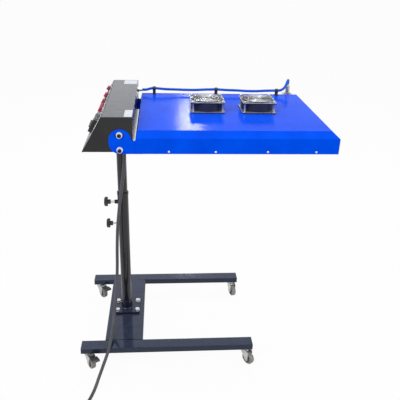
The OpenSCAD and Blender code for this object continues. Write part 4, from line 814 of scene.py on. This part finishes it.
def lamp_into(glass, winding, ends, x):
    """Adds one lamp at its place along the hood."""
    def at(y):
        return Vector((x, y, LAMP_Z))

    tube_into(glass, [at(-LAMP_HALF), at(LAMP_HALF)], LAMP_R, LAMP_SIDES)
    wire, steps = [], WINDING_TURNS * TURN_STEPS
    for k in range(steps + 1):
        a = 2 * math.pi * k / TURN_STEPS
        y = -LAMP_HALF + WINDING_END + (2 * LAMP_HALF - 2 * WINDING_END) * k / steps
        wire.append(Vector((x + WINDING_R * math.cos(a), y, LAMP_Z + WINDING_R * math.sin(a))))
    tube_into(winding, wire, ELEMENT_R, ELEMENT_SIDES)
    for side in (-1, 1):
        tube_into(ends, [at(side * (LAMP_HALF + p)) for p, r in CAP_PROFILE],
                  [r for p, r in CAP_PROFILE], LAMP_SIDES)
        tip = LAMP_HALF + CAP_L
        tube_into(ends, [at(side * tip), at(side * (tip + PIN_L))], PIN_R, PIN_SIDES)


def add_lamps():
    """Frosted quartz tubes with a wound element inside and ceramic ends."""
    glass, winding, ends = bmesh.new(), bmesh.new(), bmesh.new()
    for k in range(LAMP_COUNT):
        x = LAMP_FIRST_X + (LAMP_LAST_X - LAMP_FIRST_X) * k / (LAMP_COUNT - 1)
        lamp_into(glass, winding, ends, x)
    tubes = from_bmesh("lamp_glass", glass, "hood", MATERIALS["quartz"])
    sharpen(tubes)
    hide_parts("quartz_tubes")
    from_bmesh("lamp_elements", winding, "hood", MATERIALS["element"])
    sharpen(from_bmesh("lamp_ends", ends, "hood", MATERIALS["steatite"]))


add_fan_guards()
add_fan_posts()
add_fan_rims_and_highlights()
add_welds()
add_plates()
add_panel_rim()
add_panel_screws()
add_lamps()

# Stage and light
FLOOR_COLOUR, FLOOR_ROUGHNESS, FLOOR_GLOW = (0.86, 0.86, 0.87), 0.9, 0.95
FLOOR_R, FLOOR_SIDES, FLOOR_Z = 60, 96, -0.0005
WORLD_LIGHT = 0.55
# Name, place, target, size and power of each light
LIGHTS = (
    ("key", (-1.6, -2.2, 3.2), (0.2, 0, 0.6), 2.2, 48),
    ("fill", (2.8, -1.6, 2.2), (0.2, 0, 0.6), 2.4, 20),
    ("back", (0.50, 4.15, 2.23), (0.235, -0.12, 0.955), 0.3, 6),
    ("top", (0.3, 0.8, 3.4), (0.3, 0, 0.8), 2.6, 30),
)


def seen_directly(tree):
    """One for rays from the camera and for those that gloss or glass sends on, zero for light."""
    path = tree.nodes.new("ShaderNodeLightPath")
    value = path.outputs["Is Camera Ray"]
    for other in ("Is Glossy Ray", "Is Transmission Ray"):
        value = maths(tree, "MAXIMUM", value, path.outputs[other])
    return value


def add_stage():
    bm = bmesh.new()
    bmesh.ops.create_circle(bm, cap_ends=True, segments=FLOOR_SIDES, radius=FLOOR_R)
    material, tree, shader = new_material("floor")
    set_inputs(shader, {"Base Color": (*FLOOR_COLOUR, 1), "Roughness": FLOOR_ROUGHNESS})
    glow = tree.nodes.new("ShaderNodeEmission")
    set_inputs(glow, {"Color": WHITE, "Strength": 1.0})
    share = maths(tree, "MULTIPLY", seen_directly(tree), FLOOR_GLOW)
    tree.links.new(mix_shaders(tree, share, shader.outputs[0], glow.outputs[0]),
                   tree.nodes["Material Output"].inputs["Surface"])
    floor = from_bmesh("floor", bm, material=material, smooth=False)
    floor.location.z = FLOOR_Z


def add_light(name, place, target, size, power):
    data = bpy.data.lights.new(name, "AREA")
    data.shape, data.size, data.energy, data.color = "DISK", size, power, (1, 1, 1)
    light = bpy.data.objects.new(name, data)
    scene.collection.objects.link(light)
    light.location = place
    towards = Vector(target) - Vector(place)
    light.rotation_euler = towards.to_track_quat("-Z", "Y").to_euler()


def add_world():
    world = bpy.data.worlds.new("studio")
    scene.world = world
    world.use_nodes = True
    tree = world.node_tree
    light = tree.nodes["Background"]
    set_inputs(light, {"Color": WHITE, "Strength": WORLD_LIGHT})
    seen = tree.nodes.new("ShaderNodeBackground")
    set_inputs(seen, {"Color": WHITE, "Strength": 1.0})
    tree.links.new(mix_shaders(tree, seen_directly(tree), light.outputs[0], seen.outputs[0]),
                   tree.nodes["World Output"].inputs["Surface"])


add_stage()
for light in LIGHTS:
    add_light(*light)
add_world()
